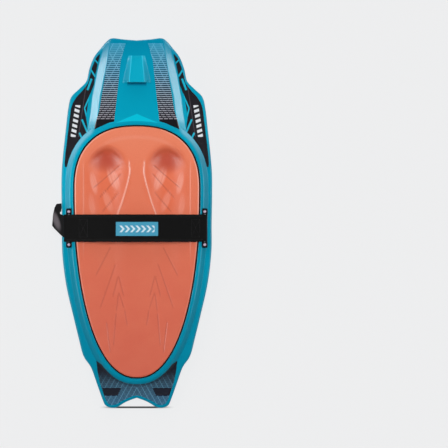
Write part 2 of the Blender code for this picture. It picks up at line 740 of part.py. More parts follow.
def make_decals():
    outlines = {
        "nose_decal_left": nose_decal_outline(-1), "nose_decal_right": nose_decal_outline(1),
        "wing_decal_left": wing_decal_outline(-1), "wing_decal_right": wing_decal_outline(1),
        "tail_decal": tail_decal_outline(),
    }
    for name, outline in outlines.items():
        slab = deck_slab(name, "decal")
        combine(slab, outline_prism(name + "_cut", outline, -20 * MM, 200 * MM), "INTERSECT", "MANIFOLD")


# ---------------------------------------------------------------- strap hardware
def screw_places():
    return [(side * BAR_X, STRAP_Y + end * SCREW_OFFSET) for side in (-1, 1) for end in (-1, 1)]


def make_brackets():
    for side, word in ((-1, "left"), (1, "right")):
        centre = Vector((side * BAR_X, STRAP_Y, SEAT_Z + GAP))
        half_x = BRACKET_WIDTH / 2
        outline = []
        radius = half_x * 0.8
        for corner_x, corner_y, start in ((1, 1, 0), (-1, 1, 90), (-1, -1, 180), (1, -1, 270)):
            for k in range(5):
                angle = math.radians(start + 90 * k / 4)
                outline.append((corner_x * (half_x - radius) + radius * math.cos(angle),
                                corner_y * (BRACKET_HALF_LENGTH - radius) + radius * math.sin(angle)))
        bm = bmesh.new()
        face = bm.faces.new([bm.verts.new((x, y, 0)) for x, y in outline])
        extruded = bmesh.ops.extrude_face_region(bm, geom=[face])
        moved = [v for v in extruded["geom"] if isinstance(v, bmesh.types.BMVert)]
        bmesh.ops.translate(bm, verts=moved, vec=(0, 0, BLOCK_HEIGHT))
        name = f"strap_bracket_{word}"
        bracket = add_object(name, mesh_from_bmesh(name, bm), "plastic", smooth=True)
        bracket.location = centre

        inner = BRACKET_HALF_LENGTH - BLOCK_LENGTH
        well = add_object("bracket_well", box_mesh("bracket_well", (-half_x * 2, -inner, BRACKET_FLOOR),
                                                   (half_x * 2, inner, BLOCK_HEIGHT * 2)))
        well.location = centre
        combine(bracket, well, "DIFFERENCE")
        bore_length = 2 * (inner + BAR_SINK + GAP)
        bore = add_object("bar_bore", rod_mesh("bar_bore", BAR_RADIUS + GAP, bore_length, "Y"))
        bore.location = (centre.x, centre.y, BAR_Z)
        combine(bracket, bore, "DIFFERENCE")
        for end in (-1, 1):
            hole = add_object("screw_hole", rod_mesh("screw_hole", SCREW_RADIUS + GAP, 80 * MM, "Z", 16))
            hole.location = (centre.x, STRAP_Y + end * SCREW_OFFSET, BAR_Z)
            combine(bracket, hole, "DIFFERENCE")

        name = f"bracket_bar_{word}"
        bar = add_object(name, rod_mesh(name, BAR_RADIUS, 2 * (inner + BAR_SINK), "Y", 16), "steel", True)
        bar.location = (centre.x, centre.y, BAR_Z)


def make_screws():
    head = SCREW_HEAD_HEIGHT
    profile = [(0, head), (SCREW_HEAD_RADIUS * 0.55, head * 0.93), (SCREW_HEAD_RADIUS * 0.88, head * 0.6),
               (SCREW_HEAD_RADIUS, 0), (SCREW_RADIUS, 0), (SCREW_RADIUS, 2 * MM - SCREW_LENGTH),
               (SCREW_RADIUS * 0.6, -SCREW_LENGTH), (0, -SCREW_LENGTH)]
    ring = [(SCREW_RADIUS + GAP, 0), (INSERT_RADIUS, 0), (INSERT_RADIUS, -INSERT_LENGTH),
            (SCREW_RADIUS + GAP, -INSERT_LENGTH)]
    words = ("left_rear", "left_front", "right_rear", "right_front")
    for word, (x, y) in zip(words, screw_places()):
        screw = turned(f"screw_{word}", profile, "steel", steps=16)
        screw.location = (x, y, SEAT_Z + BLOCK_HEIGHT + 2 * GAP)
        insert = turned(f"insert_{word}", ring, "brass", closed=True, steps=16)
        insert.location = (x, y, SEAT_Z - GAP)


# ---------------------------------------------------------------- strap
def arch_z(x):
    return ARCH_BASE + ARCH_RISE * (1 - (x / ARCH_HALF_SPAN) ** 2) - ARCH_TILT * x


def arch_points(start, end, offset, count):
    """Points at an offset from the strap's centre line, positive outwards."""
    points = []
    for k in range(count + 1):
        x = start + (end - start) * k / count
        slope = -2 * ARCH_RISE * x / ARCH_HALF_SPAN ** 2 - ARCH_TILT
        length = math.hypot(1, slope)
        points.append(Vector((x - slope / length * offset, arch_z(x) + offset / length)))
    return points


def ribbon(name, path, half_thickness, edges, material_name, origin=(0, 0, 0)):
    """A flat band along an (x, z) path. edges gives the low and high y at each point."""
    bm = bmesh.new()
    rings = []
    for i, point in enumerate(path):
        tangent = (path[min(i + 1, len(path) - 1)] - path[max(i - 1, 0)]).normalized()
        normal = Vector((-tangent.y, tangent.x)) * half_thickness
        low, high = edges(i)
        corners = [(point + normal, low), (point + normal, high), (point - normal, high),
                   (point - normal, low)]
        rings.append([bm.verts.new((p.x - origin[0], y - origin[1], p.y - origin[2])) for p, y in corners])
    for a, b in zip(rings, rings[1:]):
        for j in range(4):
            bm.faces.new((a[j], a[(j + 1) % 4], b[(j + 1) % 4], b[j]))
    bm.faces.new(rings[0])
    bm.faces.new(rings[-1])
    obj = add_object(name, mesh_from_bmesh(name, bm), material_name, smooth=True)
    obj.location = origin
    return obj


def walk_back(path, distance):
    """The point at a distance from the end of a path, and the heading there."""
    for before, after in zip(path[-2::-1], path[:0:-1]):
        length = (after - before).length
        if distance <= length:
            return after.lerp(before, distance / length), (after - before).normalized()
        distance -= length
    return path[0], (path[1] - path[0]).normalized()


def bar_loop(side, arch):
    """Webbing that comes down an arch, turns round a bar and comes back under itself."""
    centre = Vector((side * BAR_X, BAR_Z))
    tip = arch[-1]
    start = math.atan2(tip.y - centre.y, tip.x - centre.x)
    points = []
    for k in range(1, LOOP_STEPS + 1):
        angle = start - side * LOOP_SWEEP * k / LOOP_STEPS
        points.append(centre + Vector((math.cos(angle), math.sin(angle))) * LOOP_RADIUS)
    for distance in LOOP_TAIL:
        spot, heading = walk_back(arch, distance)
        inward = Vector((heading.y, -heading.x)) * side
        points.append(spot + inward * (WEB_THICKNESS + GAP))
    return points


def full_width(half):
    return lambda i: (STRAP_Y - half, STRAP_Y + half)


def make_strap():
    hinge = (BAR_X, STRAP_Y, BAR_Z)
    half_web = WEB_THICKNESS / 2
    arch = arch_points(FOLD_X, ARCH_RIGHT, 0.0, 34)
    ribbon("strap_webbing", arch + bar_loop(1, arch), half_web, full_width(STRAP_HALF_WIDTH), "webbing",
           hinge)

    offset = -(half_web + GAP + PADDING_THICKNESS / 2)
    padding = arch_points(*PADDING_X, offset, 24)
    ribbon("strap_padding", padding, PADDING_THICKNESS / 2, full_width(PADDING_HALF_WIDTH), "neoprene", hinge)

    label = arch_points(*LABEL_X, half_web + GAP + LABEL_THICKNESS / 2, 14)
    ribbon("strap_label", label, LABEL_THICKNESS / 2, lambda i: LABEL_Y, "label", hinge)

    loop_offset = -(half_web + GAP + PATCH_THICKNESS / 2)
    loop_patch = arch_points(*LOOP_PATCH_X, loop_offset, 10)
    ribbon("loop_patch", loop_patch, PATCH_THICKNESS / 2, full_width(PATCH_HALF_WIDTH), "velcro", hinge)


def make_anchor():
    hinge = (-BAR_X, STRAP_Y, BAR_Z)
    half_web = WEB_THICKNESS / 2
    offset = -(2 * half_web + 2 * PATCH_THICKNESS + 3 * GAP)
    arch = arch_points(ANCHOR_END_X, ARCH_LEFT, offset, 12)
    ribbon("anchor_strap", arch + bar_loop(-1, arch), half_web, full_width(ANCHOR_HALF_WIDTH), "webbing",
           hinge)
    patch_offset = -(half_web + PATCH_THICKNESS * 1.5 + 2 * GAP)
    patch = arch_points(*HOOK_PATCH_X, patch_offset, 8)
    ribbon("hook_patch", patch, PATCH_THICKNESS / 2, full_width(HOOK_PATCH_HALF_WIDTH), "velcro", hinge)


def make_tab():
    hinge = (TAB_HINGE_MM[0] * MM, STRAP_Y, TAB_HINGE_MM[1] * MM)
    path = [Vector((x * MM, z * MM)) for x, z in TAB_PATH_MM]
    ribbon("pull_tab", path, TAB_THICKNESS / 2, lambda i: [v * MM for v in TAB_EDGES_MM[i]], "webbing", hinge)
    lining = [p - Vector((0, TAB_THICKNESS + 2 * GAP)) for p in path[1:5]]
    edges = [(low * MM + LINING_INSET[0], high * MM - LINING_INSET[1]) for low, high in TAB_EDGES_MM[1:5]]
    ribbon("tab_lining", lining, LINING_THICKNESS / 2, lambda i: edges[i], "velcro", hinge)


clear_scene()
PARTS = new_collection("kneeboard")
CUTTERS = new_collection("cutters")
make_shell()
make_core()
make_pad()
make_decals()
make_brackets()
make_screws()
make_strap()
make_anchor()
make_tab()
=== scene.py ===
"""Looks of the kneeboard: moulded shell, foam pad, printed decals and the woven thigh strap."""

import math

import bmesh
import bpy
import numpy as np
from mathutils import Matrix, Vector


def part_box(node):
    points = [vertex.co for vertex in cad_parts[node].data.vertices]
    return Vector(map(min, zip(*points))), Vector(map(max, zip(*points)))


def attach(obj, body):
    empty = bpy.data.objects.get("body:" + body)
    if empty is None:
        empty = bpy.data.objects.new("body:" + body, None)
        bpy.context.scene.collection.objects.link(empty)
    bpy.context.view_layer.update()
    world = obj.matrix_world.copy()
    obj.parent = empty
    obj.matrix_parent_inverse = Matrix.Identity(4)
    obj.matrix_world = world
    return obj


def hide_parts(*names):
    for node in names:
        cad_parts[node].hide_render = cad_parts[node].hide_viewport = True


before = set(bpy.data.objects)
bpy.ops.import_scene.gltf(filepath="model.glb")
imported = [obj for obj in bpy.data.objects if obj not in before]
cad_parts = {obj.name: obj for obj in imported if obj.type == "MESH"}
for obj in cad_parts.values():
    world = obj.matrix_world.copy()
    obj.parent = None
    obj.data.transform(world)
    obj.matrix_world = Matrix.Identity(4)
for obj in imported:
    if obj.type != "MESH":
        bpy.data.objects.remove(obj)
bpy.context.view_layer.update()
MM = 0.001

# ---------------------------------------------------------------- dimensions
SHELL_LOW, SHELL_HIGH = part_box("shell")
PAD_LOW, PAD_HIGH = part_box("knee_pad")
WEB_LOW, WEB_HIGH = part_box("strap_webbing")
LABEL_LOW, LABEL_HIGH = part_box("strap_label")
BAR_LEFT, BAR_RIGHT = (sum(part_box(f"bracket_bar_{word}"), Vector()) / 2 for word in ("left", "right"))
HALF_LENGTH = SHELL_HIGH.y

# Half outline of the board in millimetres, from the nose round the right side to the tail notch.
OUTLINE_MM = [
    (0, 618), (45, 621.5), (84, 625), (104, 612), (122.5, 591), (145, 562), (160.5, 523), (170.5, 483),
    (196, 456), (222.5, 429), (233, 388), (241, 321), (250, 240), (255.5, 170), (256, 100), (254.5, 0),
    (253.5, -98), (240.5, -206), (216, -314), (196, -396), (186, -436), (176, -459), (155, -490),
    (135.5, -544), (116, -598), (106, -617), (86, -625), (66, -622.5), (45, -610), (27, -601), (0, -591.5),
]
NOSE_FAN_KEYS = 5
TAIL_FAN_KEYS = 7
RAIL_RADIUS = 7 * MM
RAIL_FULLNESS = 0.8

NOSE_RISE = 88 * MM
NOSE_FLAT_END = 60 * MM
NOSE_ROCKER_POWER = 2.2
TAIL_RISE = 30 * MM
TAIL_FLAT_END = -120 * MM
TAIL_ROCKER_POWER = 1.8
THICKNESS_MM = [(-625, 30), (-520, 40), (-400, 51), (-200, 63), (0, 68), (200, 67), (350, 58),
                (450, 49), (560, 38), (625, 30)]
HALF_WIDTH_MM = [(-625, 95), (-544, 132), (-490, 153.5), (-436, 186), (-314, 216), (-206, 240.5),
                 (-98, 253.5), (100, 256), (240, 250), (388, 233), (429, 222.5), (483, 169.5),
                 (562, 144), (625, 95)]
CHINE_START = 0.67
CHINE_RISE = 0.18

PAD_CENTRE_Y = 118 * MM
PAD_HALF_WIDTH = PAD_HIGH.x
PAD_FRONT_LENGTH = PAD_HIGH.y - PAD_CENTRE_Y
PAD_FRONT_POWER = 2.4
PAD_REAR_LENGTH = PAD_CENTRE_Y - PAD_LOW.y
PAD_REAR_POWER = 2.2
PAD_MARGIN = 4.5 * MM
PAD_BASE_THICKNESS = 3 * MM
PAD_CROWN = 3 * MM
PAD_EDGE_ROUNDING = 6 * MM
RECESS_DEPTH = 20 * MM
LIP_WIDTH = 18 * MM
RIM_SLOPE = 13 * MM
RIM_FRONT_SLOPE = 4 * MM
RIM_BEVEL = 4 * MM                  # eased outer edge of the lip, before the steep slope
RIM_BEVEL_DROP = 1.8 * MM
LIP_EDGE = 2.5 * MM
LIP_EDGE_DROP = 1.2 * MM
DECK_DROP = 15.5 * MM
PLATFORM_DROP = 3.4 * MM
PLATFORM_Y = 550 * MM
PLATFORM_HALF_WIDTH = 112.5 * MM    # at PLATFORM_Y
PLATFORM_TAPER = 49 / 236
PLATFORM_TUCK = 6 * MM              # the platform's sides turn in where they meet the rim
FACET_HALF_WIDTH = 59 * MM
FACET_DEPTH = 21 * MM
SLOPE_WIDTH = 26.5 * MM
SLOPE_TAPER = (520 * MM, 625 * MM)  # over this the nose platform's sides get lower and narrower
SLOPE_NARROWING = 0.2
SLOPE_LOWERING = 0.5
LIFT = 0.35 * MM                    # a decal's height over the deck
DECAL_THICKNESS = 0.35 * MM

FLOOR_GLOW = 0.72
WALL_LIGHT = 0.16
CEILING_LIGHT = 0.06


# ---------------------------------------------------------------- formulas on arrays
def smooth_curve(keys_mm):
    """A monotone cubic through (position, value) keys in millimetres, as a function of metres."""
    xs = np.array([k[0] for k in keys_mm], float) * MM
    ys = np.array([k[1] for k in keys_mm], float) * MM
    steps = np.diff(xs)
    slopes = np.diff(ys) / steps
    tangents = np.zeros(len(xs))
    tangents[0], tangents[-1] = slopes[0], slopes[-1]
    for i in range(1, len(xs) - 1):
        if slopes[i - 1] * slopes[i] > 0:
            a = 2 * steps[i] + steps[i - 1]
            b = steps[i] + 2 * steps[i - 1]
            tangents[i] = (a + b) / (a / slopes[i - 1] + b / slopes[i])

    def value(x):
        x = np.clip(x, xs[0], xs[-1])
        i = np.clip(np.searchsorted(xs, x, side="right") - 1, 0, len(xs) - 2)
        h = steps[i]
        t = (x - xs[i]) / h
        return ((1 + 2 * t) * (1 - t) ** 2 * ys[i] + t * (1 - t) ** 2 * h * tangents[i]
                + t * t * (3 - 2 * t) * ys[i + 1] + t * t * (t - 1) * h * tangents[i + 1])

    return value


thickness_at = smooth_curve(THICKNESS_MM)
half_width_at = smooth_curve(HALF_WIDTH_MM)


def keyed(keys_mm):
    """Straight lines through (position, value) keys in millimetres, as a function of metres."""
    keys = np.array(sorted(keys_mm), float) * MM
    return lambda t: np.interp(t, keys[:, 0], keys[:, 1])


def smoothstep(low, high, x):
    """0 at low, 1 at high, smooth between; low may be the larger one."""
    t = np.clip((x - low) / (high - low), 0.0, 1.0)
    return t * t * (3 - 2 * t)


def unit(vectors):
    return vectors / np.linalg.norm(vectors, axis=1)[:, None]


def run_lengths(path):
    """Distance along a path from its start to each of its points."""
    return np.concatenate([[0], np.cumsum(np.linalg.norm(np.diff(path, axis=0), axis=1))])


def bisected(low, high, beyond):
    """Where beyond(value) turns true, for arrays of low and high values."""
    for _ in range(40):
        middle = (low + high) / 2
        past = beyond(middle)
        low, high = np.where(past, low, middle), np.where(past, middle, high)
    return (low + high) / 2


def ramp(t, softness=0.06):
    """A straight ramp from 0 to 1 with softened corners."""
    return (np.sqrt(t * t + softness ** 2) - np.sqrt((t - 1) ** 2 + softness ** 2) + 1) / 2


def hull_z(y):
    """Bottom of the shell along the centre line: the rocker of the nose and the tail."""
    y = np.asarray(y, float)
    nose = np.clip((y - NOSE_FLAT_END) / (HALF_LENGTH - NOSE_FLAT_END), 0, None)
    tail = np.clip((TAIL_FLAT_END - y) / (HALF_LENGTH + TAIL_FLAT_END), 0, None)
    return NOSE_RISE * nose ** NOSE_ROCKER_POWER + TAIL_RISE * tail ** TAIL_ROCKER_POWER


def rim_z(y):
    """Top of the rim round the pad."""
    return hull_z(y) + thickness_at(y)


def pad_distance(x, y):
    """About the distance from the pad's outline, negative inside."""
    front = y > PAD_CENTRE_Y
    length = np.where(front, PAD_FRONT_LENGTH, PAD_REAR_LENGTH)
    power = np.where(front, PAD_FRONT_POWER, PAD_REAR_POWER)
    u = np.abs(x) / PAD_HALF_WIDTH + 1e-9
    v = np.abs(y - PAD_CENTRE_Y) / length + 1e-9
    size = (u ** power + v ** power) ** (1 / power)
    scale = size ** (1 - power)
    slope = np.hypot(scale * u ** (power - 1) / PAD_HALF_WIDTH, scale * v ** (power - 1) / length)
    return (size - 1) / slope


def platform_edge(y):
    """Half width of the raised nose platform, at the middle of its sloping side."""
    straight = PLATFORM_HALF_WIDTH + (PLATFORM_Y - y) * PLATFORM_TAPER
    return straight - PLATFORM_TUCK * smoothstep(440 * MM, 350 * MM, y)


def deck_z(x, y):
    """Top of the moulded shell: flat lip, sloping rails, lower wings and the raised nose platform."""
    distance = pad_distance(x, y)
    outside = distance - LIP_WIDTH
    drop = DECK_DROP * ramp(outside / RIM_SLOPE, 0.04)
    facet = np.clip(1 - np.abs(x) / FACET_HALF_WIDTH, 0, None)
    platform = PLATFORM_DROP * ramp(outside / (RIM_FRONT_SLOPE + FACET_DEPTH * facet))
    taper = smoothstep(*SLOPE_TAPER, y)
    width = SLOPE_WIDTH * (1 - SLOPE_NARROWING * taper)
    side = np.where(y > PAD_CENTRE_Y, ramp((np.abs(x) - platform_edge(y)) / width + 0.5, 0.03), 1.0)
    drop = platform + (drop - platform) * side * (1 - SLOPE_LOWERING * taper)
    drop += RIM_BEVEL_DROP * ramp((outside + RIM_BEVEL) / RIM_BEVEL, 0.08)
    edge = np.clip(1 - (distance - PAD_MARGIN) / LIP_EDGE, 0, 1)
    return rim_z(y) - drop - LIP_EDGE_DROP * edge ** 2


def underside_z(x, y):
    """Bottom of the shell: flat across the middle and raised towards the rails."""
    share = np.abs(x) / half_width_at(y)
    return hull_z(y) + CHINE_RISE * thickness_at(y) * smoothstep(CHINE_START, 1.0, share)


# ---------------------------------------------------------------- meshes
def shade(mesh, angle):
    """Smooth shading, with sharp edges above an angle in degrees."""
    mesh.shade_smooth()
    mesh.set_sharp_from_angle(angle=math.radians(angle))


def placed(name, mesh):
    obj = bpy.data.objects.new(name, mesh)
    bpy.context.scene.collection.objects.link(obj)
    return obj


def bmesh_object(name, bm):
    mesh = bpy.data.meshes.new(name)
    bm.to_mesh(mesh)
    bm.free()
    return placed(name, mesh)


def mesh_object(name, verts, faces, smooth_angle=None, merge=False):
    mesh = bpy.data.meshes.new(name)
    mesh.from_pydata([tuple(v) for v in verts], [], [tuple(f) for f in faces])
    if merge:
        bm = bmesh.new()
        bm.from_mesh(mesh)
        bmesh.ops.remove_doubles(bm, verts=bm.verts, dist=0.005 * MM)
        bmesh.ops.recalc_face_normals(bm, faces=bm.faces)
        bm.to_mesh(mesh)
        bm.free()
    mesh.update()
    if smooth_angle is not None:
        shade(mesh, smooth_angle)
    return placed(name, mesh)


def ring_grid(rings):
    """Faces that join rows of closed rings."""
    rows, count = rings.shape[:2]
    index = np.arange(rows * count).reshape(rows, count)
    a, b = index[:-1], index[1:]
    return np.stack([a, np.roll(a, -1, 1), np.roll(b, -1, 1), b], axis=-1).reshape(-1, 4)


def capped_tube(name, rings, smooth_angle=None, merge=True):
    """A closed body from rows of closed rings, with a face across its first ring and its last."""
    rows, count = rings.shape[:2]
    last = (rows - 1) * count
    faces = [tuple(f) for f in ring_grid(rings)]
    faces += [tuple(range(count))[::-1], tuple(range(last, last + count))]
    return mesh_object(name, rings.reshape(-1, 3), faces, smooth_angle, merge)


def mirrored(right):
    """Whole rings from the halves on the right side, which start and end on the centre line."""
    left = right[:, -2:0:-1] * np.array([-1, 1, 1])
    return np.concatenate([right, left], axis=1)


def skin_plate(name, x, y, height, thickness, lift):
    """A thin closed plate over a height function, from grids of x and y."""
    low = height(x, y) + lift
    top = np.stack([x, y, low + thickness], axis=-1)
    bottom = np.stack([x, y, low], axis=-1)
    return capped_tube(name, np.concatenate([top, bottom[:, ::-1]], axis=1), 40)


def apply_modifiers(obj):
    evaluated = obj.evaluated_get(bpy.context.evaluated_depsgraph_get())
    mesh = bpy.data.meshes.new_from_object(evaluated)
    obj.modifiers.clear()
    obj.data = mesh


def cut(target, cutter, operation="DIFFERENCE"):
    modifier = target.modifiers.new("cut", "BOOLEAN")
    modifier.operation = operation
    modifier.solver = "MANIFOLD"
    modifier.object = cutter
    apply_modifiers(target)
    bpy.data.objects.remove(cutter, do_unlink=True)


def round_edges(obj, width, segments, angle):
    """Bevels the edges that are sharper than an angle in degrees."""
    modifier = obj.modifiers.new("round", "BEVEL")
    modifier.width = width
    modifier.segments = segments
    modifier.limit_method = "ANGLE"
    modifier.angle_limit = math.radians(angle)
    apply_modifiers(obj)


def box_object(name, low, high):
    bm = bmesh.new()
    size = [high[i] - low[i] for i in range(3)]
    centre = [(high[i] + low[i]) / 2 for i in range(3)]
    bmesh.ops.create_cube(bm, size=1.0, matrix=Matrix.Translation(centre) @ Matrix.Diagonal((*size, 1)))
    return bmesh_object(name, bm)


def rod_object(name, radius, length, axis, centre):
    turn = {"X": Matrix.Rotation(math.pi / 2, 4, "Y"), "Y": Matrix.Rotation(math.pi / 2, 4, "X"),
            "Z": Matrix.Identity(4)}[axis]
    bm = bmesh.new()
    bmesh.ops.create_cone(bm, cap_ends=True, segments=40, radius1=radius, radius2=radius,
                          depth=length, matrix=Matrix.Translation(centre) @ turn)
    return bmesh_object(name, bm)


# ---------------------------------------------------------------- board outline
OUTLINE_STEPS = 14


def catmull_rom(points, steps):
    """A smooth curve through every point."""
    padded = np.vstack([points[0] * 2 - points[1], points, points[-1] * 2 - points[-2]])
    curve = []
    for i in range(1, len(padded) - 2):
        p0, p1, p2, p3 = padded[i - 1:i + 3]
        for k in range(steps):
            t = k / steps
            curve.append(0.5 * (2 * p1 + (p2 - p0) * t + (2 * p0 - 5 * p1 + 4 * p2 - p3) * t * t
                                + (3 * p1 - p0 - 3 * p2 + p3) * t ** 3))
    curve.append(points[-1])
    return np.array(curve)


def outline_rows():
    """Outline points, their inward normals and the centre line's y for each row of the shell's grid."""
    keys = np.array(OUTLINE_MM, float) * MM
    dense = catmull_rom(keys, OUTLINE_STEPS)
    tangent = unit(np.gradient(dense, axis=0))
    normal = np.stack([tangent[:, 1], -tangent[:, 0]], axis=1)
    normal[0] = (0, -1)
    normal[-1] = (0, 1)
    centre = dense[:, 1].copy()
    nose = NOSE_FAN_KEYS * OUTLINE_STEPS
    tail = (len(keys) - 1 - TAIL_FAN_KEYS) * OUTLINE_STEPS
    centre[:nose] = np.linspace(keys[0, 1] - RAIL_RADIUS, dense[nose, 1], nose, endpoint=False)
    centre[tail:] = np.linspace(dense[tail, 1], keys[-1, 1] + RAIL_RADIUS, len(dense) - tail)
    return dense, normal, centre


def shell_rings(top_columns, rail_steps, bottom_columns):
    """Closed rings from the nose to the tail: the deck, the rounded rail and the underside."""
    outline, normal, centre = outline_rows()
    start = np.stack([np.zeros_like(centre), centre], axis=1)
    end = outline + normal * RAIL_RADIUS
    end[:, 0] = np.clip(end[:, 0], 0, None)

    def interior(columns, height):
        t = np.sin(np.linspace(0, math.pi / 2, columns + 1))[None, :, None]
        plan = start[:, None] * (1 - t) + end[:, None] * t
        return np.concatenate([plan, height(plan[..., 0], plan[..., 1])[..., None]], axis=-1)

    top = interior(top_columns, deck_z)
    bottom = interior(bottom_columns, underside_z)
    angle = np.linspace(0, math.pi, rail_steps + 1)[1:-1]
    inset = RAIL_RADIUS * (1 - np.sin(angle) ** RAIL_FULLNESS)
    wave = np.sign(np.cos(angle)) * np.abs(np.cos(angle)) ** RAIL_FULLNESS
    plan = outline[:, None] + normal[:, None] * inset[None, :, None]
    plan[..., 0] = np.clip(plan[..., 0], 0, None)
    middle = (top[:, -1, 2] + bottom[:, -1, 2]) / 2
    half = (top[:, -1, 2] - bottom[:, -1, 2]) / 2
    rail = np.concatenate([plan, (middle[:, None] + half[:, None] * wave)[..., None]], axis=-1)
    return mirrored(np.concatenate([top, rail, bottom[:, ::-1]], axis=1))


def pad_outline(margin, count):
    """Right half of the pad's outline from the front centre to the rear centre."""
    angle = np.linspace(math.pi / 2, -math.pi / 2, count + 1)
    front = angle > 0
    length = np.where(front, PAD_FRONT_LENGTH, PAD_REAR_LENGTH) + margin
    power = 2 / np.where(front, PAD_FRONT_POWER, PAD_REAR_POWER)
    x = (PAD_HALF_WIDTH + margin) * np.abs(np.cos(angle)) ** power
    y = PAD_CENTRE_Y + np.sign(angle) * length * np.abs(np.sin(angle)) ** power
    x[0] = x[-1] = 0
    return x, y


def pad_body(name, margin, count, columns, low, high, smooth_angle=40):
    """A body with the pad's outline between two height functions."""
    x, y = pad_outline(margin, count)
    t = np.sin(np.linspace(0, math.pi / 2, columns + 1))
    grid_x = x[:, None] * t[None]
    grid_y = np.repeat(y[:, None], columns + 1, axis=1)
    top = np.stack([grid_x, grid_y, high(grid_x, grid_y)], axis=-1)
    bottom = np.stack([grid_x, grid_y, low(grid_x, grid_y)], axis=-1)[:, ::4]
    rings = mirrored(np.concatenate([top, bottom[:, ::-1]], axis=1))
    return mesh_object(name, rings.reshape(-1, 3), ring_grid(rings), smooth_angle, merge=True)


def vertex_places(obj):
    points = np.zeros(len(obj.data.vertices) * 3)
    obj.data.vertices.foreach_get("co", points)
    return points.reshape(-1, 3)


def add_field(obj, name, field):
    """Stores field(x, y) on the mesh, with x taken as positive on both sides."""
    points = vertex_places(obj)
    layer = obj.data.attributes.new(name, "FLOAT", "POINT")
    layer.data.foreach_set("value", field(np.abs(points[:, 0]), points[:, 1]).astype(np.float32))


def painted_rim_highlight_field(x, y):
    """Painted highlight on the rim's outer slope: brightest beside the nose platform, fading towards the
    strap.
    """
    outside = pad_distance(x, y) - LIP_WIDTH
    slope = smoothstep(-4 * MM, 5 * MM, outside) * smoothstep(RIM_SLOPE + 3 * MM, RIM_SLOPE - 1 * MM, outside)
    fade = 0.16 * smoothstep(-60 * MM, 60 * MM, y) + 0.6 * smoothstep(130 * MM, 300 * MM, y)
    return slope * fade * smoothstep(-16 * MM, 4 * MM, x - platform_edge(y))


# ---------------------------------------------------------------- shell
STRAKE_DEPTH = 4 * MM
STRAKE_ROOT = 5 * MM                # how far a rib's root reaches into the shell
# Centre lines (y, x) on the right side, in millimetres, from front to rear.
INNER_STRAKE_MM = [(273, 54), (-560, 54)]
OUTER_STRAKE_MM = [(393, 105), (330, 132), (270, 155), (235, 165), (210, 169), (180, 170.6), (150, 171),
                   (-150, 171), (-265, 169), (-310, 167)]
FIN_MM = [(-308, 132), (-360, 133), (-410, 134), (-460, 135), (-490, 135), (-505, 135)]
# Depth of a fin at each y, in millimetres.
FIN_DEPTH_MM = [(-505, 7), (-490, 12), (-460, 12), (-410, 9), (-360, 5), (-308, 0.5)]


def strake(shell, keys_mm, side, depth_at, section):
    """A moulded rib along the hull: a section swept through the keys.

    The section's points are (across, share of the depth), with None for the share at the root."""
    ys = np.arange(keys_mm[0][0], keys_mm[-1][0] - 1, -10.0) * MM
    rings = []
    for x, y in zip(keyed(keys_mm)(ys), ys):
        depth = float(depth_at(y))
        heights = [STRAKE_ROOT if level is None else -depth * level for _, level in section]
        rings.append([(side * (x + across), y, float(hull_z(y)) + height)
                      for (across, _), height in zip(section, heights)])
    cut(shell, capped_tube("strake", np.array(rings)), "UNION")


def faded_depth(keys_mm):
    """A strake's depth at y: full along its keys, fading to a tenth over 30 mm at each end."""
    front, rear = keys_mm[0][0] * MM, keys_mm[-1][0] * MM
    return lambda y: STRAKE_DEPTH * (0.1 + 0.9 * float(smoothstep(0, 30 * MM, min(front - y, y - rear))))


def add_strakes(shell):
    inner = [(-7.5 * MM, None), (-5 * MM, 0.5), (-3 * MM, 0.92), (0, 1), (3 * MM, 0.92), (5 * MM, 0.5),
             (7.5 * MM, None)]
    outer = [(-2 * MM, None), (-0.8 * MM, 0.6), (1 * MM, 1), (5 * MM, 1), (10 * MM, 0.6), (24 * MM, None)]
    fin = [(-5 * MM, None), (-2 * MM, 0.75), (-0.6 * MM, 1), (1.2 * MM, 1), (3 * MM, 0.7), (11 * MM, None)]
    for side in (1, -1):
        strake(shell, INNER_STRAKE_MM, side, faded_depth(INNER_STRAKE_MM), inner)
        strake(shell, OUTER_STRAKE_MM, side, faded_depth(OUTER_STRAKE_MM), outer)
        strake(shell, FIN_MM, side, smooth_curve(FIN_DEPTH_MM), fin)


# Tow hook from its rear face to its front tip, as (y, value) in millimetres: half width at the deck, half
# width of the top, and rise over the deck. The tapers are how fast its two widths shrink towards the nose.
HOOK_BASE_MM = [(476, 45), (520, 37), (567, 28)]
HOOK_TOP_MM = [(476, 26), (520, 22), (560, 18.5), (567, 18)]
HOOK_RISE_MM = [(476, 36), (520, 20), (558, 5.5), (565, 1.5), (567, 0)]
HOOK_TOP_TAPER = 0.0906
HOOK_BASE_TAPER = 0.187
HOOK_REAR = 476 * MM
HOOK_FRONT = 567 * MM
HOOK_ROOT = 6 * MM
HOOK_SOFTNESS = 0.13
HOOK_HOLLOW = 0.7 * MM              # the top is a little hollow, 6 mm in from its edges
HOOK_HOLLOW_INSET = 6 * MM
HOOK_SLOT_Y = 472 * MM
HOOK_SLOT_RADIUS = 11 * MM
HOOK_SLOT_HEIGHT = 14 * MM


